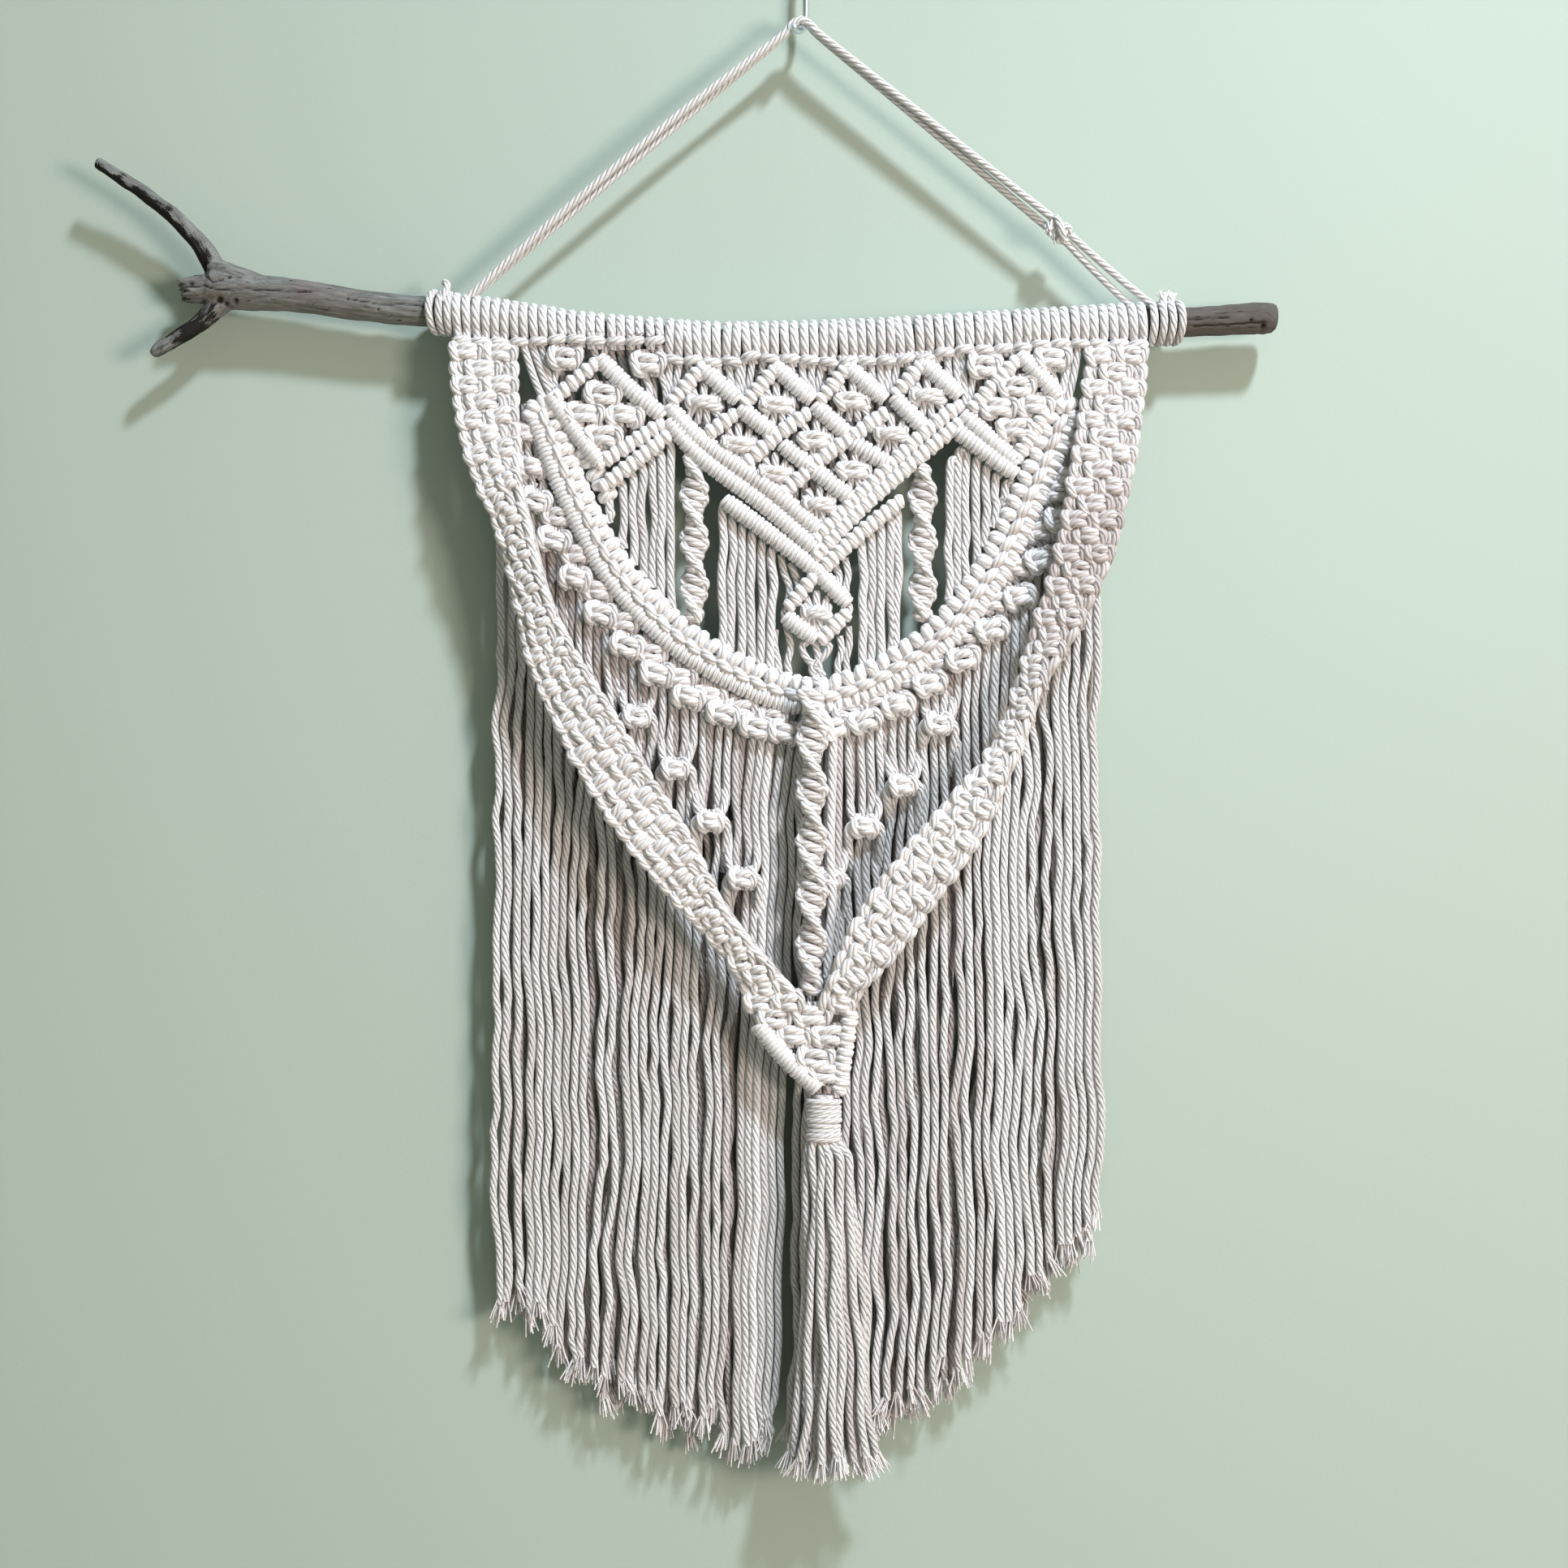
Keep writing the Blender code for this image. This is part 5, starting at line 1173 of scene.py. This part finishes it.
for name, (node, downhill, tops) in curtains.items():
    hung = []
    for k, (x, z) in enumerate(tops):
        sway = 0.5 * math.sin(1.7 * k)
        low = lineHeight(innerEdge, x) - curtain["tuckedUnder"]
        line = [(x + a * downhill, z + b) for a, b in ((3.4, 1.2), (1.7, 2.0), (0.3, 0.2), (0.0, -5))]
        for t in (0.2, 0.4, 0.6, 0.8, 1.0):
            line.append((x + sway * math.sin(4.4 * t) + rng.normal(0, 0.5), z - 5 + (low - z + 5) * t))
        path = [(px, curtain["y"] - 0.4 * math.sin(2.3 * k + 4 * i / len(line)), pz)
                for i, (px, pz) in enumerate(line)]
        hung.append(cord(path, 2.0 + 0.15 * rng.random(), 0.05 + 0.25 * rng.random(), 4))
    finishPiece(name, [sweepCords(name, hung, sides=8)], [node])


def halfKnotSpiral(name, node, middle, top, bottom, reach, halfTurn, rungPitch, phase, beside=()):
    # half knots that each sit a little further round two fillers: two edge cords with rungs between them
    x, y = middle

    def edge(z, side, r=1.0):
        turn = phase - math.pi * (top - z) / halfTurn + (0 if side > 0 else math.pi)
        wide = reach * r * min(1.0, 0.45 + (z - bottom) / 14)
        return (x + wide * math.cos(turn), y - 0.8 * wide * math.sin(turn), z)

    # the two fillers inside are painted dark: painted shade
    cords = [cord([(x + u, y, top + 1), (x + u, y, bottom - 1)], 1.6, 0.9, 1) for u in (-1.3, 1.3)]
    for side in (-1, 1):
        cords.append(cord([edge(z, side, 1.0 + 0.14 * math.sin(math.tau * z / rungPitch + side))
                           for z in np.arange(top, bottom, -rungPitch / 4)], 2.2, 0.0, 2))
    for z in np.arange(top - 1.5, bottom + 1, -rungPitch):
        for side in (-1, 1):
            a, b = np.array(edge(z + 1.9, side, 0.9)), np.array(edge(z - 1.9, -side, 0.9))
            lift = np.cross(b - a, (0, 0, 1.0))
            lift *= 3.0 / np.linalg.norm(lift)
            rung = [a, a * 0.72 + b * 0.28 + lift, a * 0.28 + b * 0.72 + lift, b]
            cords.append(cord(rung, 2.25, 0.1 + 0.3 * rng.random(), 3))
    finishPiece(name, [sweepCords(name, cords + list(beside), sides=8)], [node])


# two slack cords hang beside the centre sinnet; they are painted darker, the further back one more: painted
# shade
spirals = {
    "spiralLeft": {"node": "spiral_left", "middle": (-52.3, -21.0), "top": -236.5, "bottom": -314.5,
                   "reach": 4.7, "halfTurn": 21.5, "rungPitch": 5.6, "phase": 2.6},
    "spiralRight": {"node": "spiral_right", "middle": (54.5, -21.0), "top": -242.0, "bottom": -313.0,
                    "reach": 4.7, "halfTurn": 21.5, "rungPitch": 5.6, "phase": 2.0},
    "centreSinnet": {"node": "centre_sinnet", "middle": (2.6, -30.5), "top": -347.0, "bottom": -487.0,
                     "reach": 5.3, "halfTurn": 24.0, "rungPitch": 5.9, "phase": 2.8, "beside": (
        cord([(12.6, -25.6, -366.0), (12.0, -25.0, -392.0), (11.2, -24.6, -420.0),
              (12.2, -24.8, -444.0), (10.6, -25.6, -462.0), (9.8, -26.5, -480.0)], 2.2, 0.3, 5),
        cord([(15.6, -22.6, -362.0), (15.2, -21.8, -398.0), (14.6, -21.4, -436.0),
              (13.2, -22.6, -470.0)], 1.95, 0.5, 5))}}
for name, spiral in spirals.items():
    halfKnotSpiral(name, **spiral)
print("spirals made")


arrow = {
    "y": -31.0, "barsY": -32.5,
    "bars": [[(-22.4, -500.8), (-9.5, -516.8), (5.7, -530.9)],
        [(20.5, -494.8), (17.9, -514.9), (14.8, -532.8)]],
    "knots": [(-14.4, -497.8), (3.0, -496.7), (-5.7, -506.2), (11.0, -506.2), (4.2, -516.8), (9.5, -523.6)]}


def makeArrow():
    bars = barPlaces(arrow["bars"][0], arrow["barsY"], 2.1, (1, 1.28, 1.15), 0.02)
    hitches = barPlaces(arrow["bars"][1], arrow["barsY"], 3.5, (1, 1.05, 1.0), 0.02)
    knots = netPlaces(arrow["knots"], (1.12, 1.1, 0.85), arrow["y"])
    # the cords behind the knots and the bar cores are painted darker: painted shade
    y = arrow["y"] + 2.2
    cords = [cord([(x, y, -496.0), (x * 0.35 + 6.0, y, -530.0)], 2.0, 0.7)
             for x in (-20, -13, -6, 1, 8, 15)]
    cords += [cord(onPanel(line, arrow["barsY"]), 2.6, 0.4) for line in arrow["bars"]]
    parts = [sweepCords("arrowCores", cords)]
    parts += tieKnots("arrowBar", fineHitches, bars, uneven=0.02, seed=41)
    parts += tieKnots("arrowHitches", fatHitches, hitches, seed=42)
    parts += tieKnots("arrowKnots", closeKnots, knots, seed=43)
    finishPiece("arrowPoint", parts, ["arrow"])


makeArrow()


gathering = {"x": 8.2, "y": -31.0, "top": -535.8, "bottom": -555.6, "turns": 9, "half": (6.9, 5.4)}


def gatheringTurns():
    x, y, (halfWide, halfDeep) = gathering["x"], gathering["y"], gathering["half"]
    wound = []
    for k in range(gathering["turns"]):
        z = gathering["top"] - 1.1 + (gathering["bottom"] - gathering["top"]) * k / gathering["turns"]
        wide, slant = 1.0 + rng.normal(0, 0.03), rng.normal(0.4, 0.5)
        ring = [(x + wide * halfWide * math.sin(a), y - wide * halfDeep * math.cos(a),
                 z - slant * a / math.pi + 0.25 * math.sin(5.0 * k))
                for a in np.linspace(-math.pi, math.pi, 19)]
        wound.append(cord(ring, 1.3 + 0.2 * rng.random(), 0.02 + 0.2 * rng.random(), 1))
    # the core inside the turns is painted darker: painted shade
    core = cord([(x, y, -534.0), (x, y, -557.0)], 5.2, 0.4, 1)
    made = sweepCords("gatheringTurns", wound + [core], sides=8)
    finishPiece("gatheringTurns", [made], ["gathering_wrap"])


gatheringTurns()

# the tassel's shape: height, middle x, half its width and its depth
tassel = {
    "y": -30.0, "rings": ((14, 1.0), (10, 0.6), (5, 0.22)), "ragged": 6.0,
    "shape": ((-555.0, 8.3, 5.6, 4.6), (-559.0, 9.0, 7.6, 5.8), (-564.0, 10.2, 9.6, 6.6),
        (-584.0, 11.0, 10.9, 7.2), (-606.0, 11.5, 12.0, 7.6), (-630.0, 12.0, 13.3, 8.2),
        (-655.0, 12.2, 14.4, 8.6), (-680.0, 12.4, 16.2, 9.0), (-702.0, 12.6, 19.6, 9.6))}


def makeTassel():
    cords, ends = [], []
    for count, part in tassel["rings"]:
        for k in range(count):
            angle = math.tau * (k + 0.35 * rng.random()) / count
            wave, shift = rng.random() * 6.28, rng.normal(0, 0.25)
            line = []
            for z, x, half, deep in tassel["shape"]:
                sway = 0.9 * math.sin(z / 15.0 + wave) + 0.6 * math.sin(z / 7.3 + 2.1 * wave)
                a = angle + shift * (z + 556) / -150
                y = tassel["y"] - deep * part * math.cos(a)
                line.append((x + half * part * math.sin(a) + sway, y, z))
            x, y, z = line[-1]
            line[-1] = (x, y, z + tassel["ragged"] * (rng.random() - 0.4))
            # the inner rings of cords are painted darker: painted shade
            cords.append(cord(line, 2.05, 0.05 + 0.25 * rng.random() + 0.5 * (part < 0.9), 5))
            ends.append((line[-1], (np.array(line[-1]) - np.array(line[-2])) * (1.6, 1.2, 1)))
    parts = [sweepCords("tasselCords", cords)] + fraying("tasselYarns", ends, 51)
    finishPiece("cordTassel", parts, ["tassel"])


makeTassel()
print("arrow and tassel made")


fringe = {
    "radius": 1.95, "topY": -19.6, "layers": {"front": -15.8, "middle": -11.8, "back": -7.8}, "drift": 3.0,
    "wander": 2.3, "kink": 1.7, "closest": 4.1,
    "lows": {
        "left": ((-146.0, -630.0), (-126.0, -634.0), (-111.0, -658.0), (-88.0, -673.0), (-66.0, -683.0),
            (-43.0, -689.0), (-24.0, -699.0), (-18.0, -694.0)),
        "right": ((-6.5, -694.0), (10.0, -692.0), (41.0, -685.0), (65.0, -671.0), (84.0, -653.0),
            (98.0, -635.0), (117.0, -613.0), (134.0, -604.0), (140.0, -585.0))},
    "spans": {"left": (-143.5, -10.5, -144.2, -20.0), "right": (-2.5, 134.0, -5.6, 138.0)},
    "underBand": 22.25, "outermost": 3, "sidePitch": 4.2, "rowStep": 7.0, "rows": 110, "crowded": 3.9,
    "shades": {"front": 0.0, "middle": 0.75, "back": 1.0}, "backCount": 34}
fringeEdge = offsetLine(bandLine, fringe["underBand"])


def fringeStarts(side):
    # the x and z where each cord leaves its knot, its layer, and the points before it
    topA, topB = fringe["spans"][side][:2]
    starts = []
    for x, z in knotRows[side]["outer"]:
        for u, under, before in ((-6.6, 4.5, 1.5), (-2.2, 7.0, 3.0), (2.2, 7.0, 3.0), (6.6, 4.5, 1.5)):
            starts.append((x + u, z - under, "front", [(x + 0.55 * u, z - before)]))
    for k in range(fringe["outermost"]):
        x = topA + fringe["sidePitch"] * k if side == "left" else topB - fringe["sidePitch"] * k
        starts.append((x, lineHeight(fringeEdge, x) + 12.0, "front", []))
    if side == "right":
        starts += [(x, lineHeight(fringeEdge, x) + 1.0, "front", []) for x in (-2.0, 2.5)]
    for k in range(fringe["backCount"]):
        x = topA + (topB - topA) * (k + 0.5) / fringe["backCount"]
        starts.append((x, lineHeight(fringeEdge, x) + 6.0, "back", []))
    return sorted(starts, key=lambda start: start[0])


def spreadLevels(hung):
    # neighbours touch but never sink into one another
    for layer in ("front", "middle"):
        for row in range(fringe["rows"]):
            level = [c["levels"] for c in hung if c["layer"] == layer and row in c["levels"]]
            for again in range(5):
                for a, b in zip(level, level[1:]):
                    push = max(0.0, fringe["closest"] - (b[row] - a[row])) / 2
                    a[row] -= push
                    b[row] += push


def fringeSide(side, node, seed):
    # four cords hang from every knot of the front row, and a back layer shows between them
    local = np.random.default_rng(seed)
    low = np.array(fringe["lows"][side])
    topA, topB, endA, endB = fringe["spans"][side]
    step = fringe["rowStep"]
    hung, last = [], -999.0
    for x0, z0, layer, first in fringeStarts(side):
        # cords that find no room in front hang a little behind
        if layer == "front":
            layer = "front" if x0 - last > fringe["crowded"] else "middle"
            last = x0 if layer == "front" else last
        share = min(1.0, max(0.0, (x0 - topA) / (topB - topA)))
        xEnd = endA + (endB - endA) * share + local.normal(0, 0.8)
        zEnd = float(np.interp(xEnd, low[:, 0], low[:, 1])) + local.normal(0, 4.6)
        zEnd += 9.0 * local.random() if layer == "back" else 1.0
        own, levels = 50 * local.random(), {}
        for row in range(int((z0 - 4) // -step), int((zEnd + 3) // -step)):
            z = -step * (row + 1)
            fallen = max(0.0, z0 - z)
            wave = (fringe["drift"] * noise.noise((x0 / 30, z / 42, 1.7))
                    + fringe["wander"] * noise.noise((own, z / 34, 0.3))
                    + fringe["kink"] * noise.noise((own, z / 13, 8.1)))
            levels[row] = x0 + (xEnd - x0) * (fallen / (z0 - zEnd)) ** 0.8 + min(1.0, fallen / 35) * wave
        hung.append({"start": (x0, z0), "layer": layer, "first": first, "low": zEnd, "own": own,
                     "levels": levels})
    spreadLevels(hung)
    cords, ends = [], []
    topY = fringe["topY"]
    for c in hung:
        x0, z0 = c["start"]
        base = fringe["layers"][c["layer"]] + local.normal(0, 0.3)
        line = [(px, topY + 0.4, pz) for px, pz in c["first"]] + [(x0, topY, z0)]
        for row, x in c["levels"].items():
            z = -step * (row + 1)
            if z > z0 - 2:
                continue
            # the front cords draw together behind the loose knots
            for knotX, knotZ in knotRows[side]["loose"] if c["layer"] == "front" else ():
                if abs(x - knotX) < 9.0:
                    x = knotX + (x - knotX) * (1 - 0.45 * math.exp(-((z - knotZ) / 5.5) ** 2))
            y = topY + (base - topY) * min(1.0, (z0 - z) / 60) + 0.7 * noise.noise((c["own"], z / 30, 4.4))
            line.append((x, y, z))
        line.append((line[-1][0] + local.normal(0, 0.5), line[-1][1], c["low"]))
        # painted shade: the middle and back layers are painted darker than the front
        shade = fringe["shades"][c["layer"]] + 0.3 * local.random()
        cords.append(cord(line, fringe["radius"] + 0.1 * local.normal(), shade, 2))
        ends.append((line[-1], (local.normal(0, 0.16), local.normal(0, 0.1), -1.0)))
    parts = [sweepCords("fringe" + side, cords)] + fraying("fringeYarns" + side, ends, seed + 1)
    finishPiece("fringe" + side.title(), parts, [node])


fringeSide("left", "fringe_left", 61)
fringeSide("right", "fringe_right", 71)
print("fringe made")


def plainFinish(name, colour, roughness, seenThrough=False):
    # matt emulsion paint: a faint roller stipple about 2 mm across
    made, tree, shader = newMaterial(name)
    place = addNode(tree, "ShaderNodeTexCoord").outputs["Object"]
    bump = addNode(tree, "ShaderNodeBump",
                   {"Height": noiseOn(tree, place, 500.0, 2.0), "Strength": 0.12, "Distance": 0.0004})
    feed(tree, shader, {"Base Color": linear(colour), "Roughness": roughness, "Normal": bump})
    if seenThrough:
        # open from behind, so the back of the hanging can be looked at
        facing = addNode(tree, "ShaderNodeNewGeometry").outputs["Backfacing"]
        clear = addNode(tree, "ShaderNodeBsdfTransparent")
        mixed = addNode(tree, "ShaderNodeMixShader", {0: facing, 1: shader, 2: clear})
        feed(tree, tree.nodes["Material Output"], {"Surface": mixed})
    return made


def stagePlane(name, corners, finish):
    mesh = bpy.data.meshes.new(name)
    mesh.from_pydata(corners, [], [(0, 1, 2, 3)])
    mesh.materials.append(finish)
    made = newObject(name, mesh)


room = {"wall": "#aabab2", "floor": "#d8d5cd", "wallY": 0.0006, "floorZ": -1.7, "wide": 2.5, "high": 1.2,
        "deep": 4.0}
corners = ((-1, -1), (1, -1), (1, 1), (-1, 1))
upright = [(room["wide"] * x, room["wallY"], room["high"] if z > 0 else room["floorZ"]) for x, z in corners]
level = [(room["wide"] * x, room["deep"] * y, room["floorZ"]) for x, y in corners]
stagePlane("wall", upright, plainFinish("Sage emulsion wall", room["wall"], 0.8, seenThrough=True))
stagePlane("floor", level, plainFinish("Pale matt floor", room["floor"], 0.7))


def areaLight(name, place, target, size, power, colour, spread=180):
    lamp = bpy.data.lights.new(name, "AREA")
    lamp.shape = "DISK"
    lamp.size = size
    lamp.spread = math.radians(spread)
    lamp.energy = power
    lamp.color = colour
    made = newObject(name, lamp)
    made.location = place
    made.rotation_euler = (Vector(target) - Vector(place)).to_track_quat("-Z", "Y").to_euler()


areaLight("keyLight", (0.93, -1.5, 1.75), (0.2, 0.0, -0.25), 0.28, 12.1, (0.845, 0.92, 1.0), 70)
areaLight("warmFill", (1.65, -1.95, -0.35), (0.0, 0.0, -0.35), 0.7, 39.0, (1.0, 0.825, 0.715))
sky = {"colour": (0.955, 1.0, 0.81, 1.0), "dimLeft": 0.19, "brightRight": 0.5}
world = bpy.data.worlds.new("Soft room light")
scene.world = world
world.use_nodes = True
ways = addNode(world.node_tree, "ShaderNodeTexCoord").outputs["Generated"]
leftToRight = addNode(world.node_tree, "ShaderNodeSeparateXYZ", {0: ways})
# the room is dimmer on the left
dimmer = rescale(world.node_tree, leftToRight, -0.7, 0.7, sky["dimLeft"], sky["brightRight"])
feed(world.node_tree, world.node_tree.nodes["Background"], {"Color": sky["colour"], "Strength": dimmer})
scene.view_settings.view_transform = "Standard"

for shape in closeKnots + netKnots + fatHitches + fineHitches + beads + yarnShapes:
    bpy.data.objects.remove(shape)
print("finished")
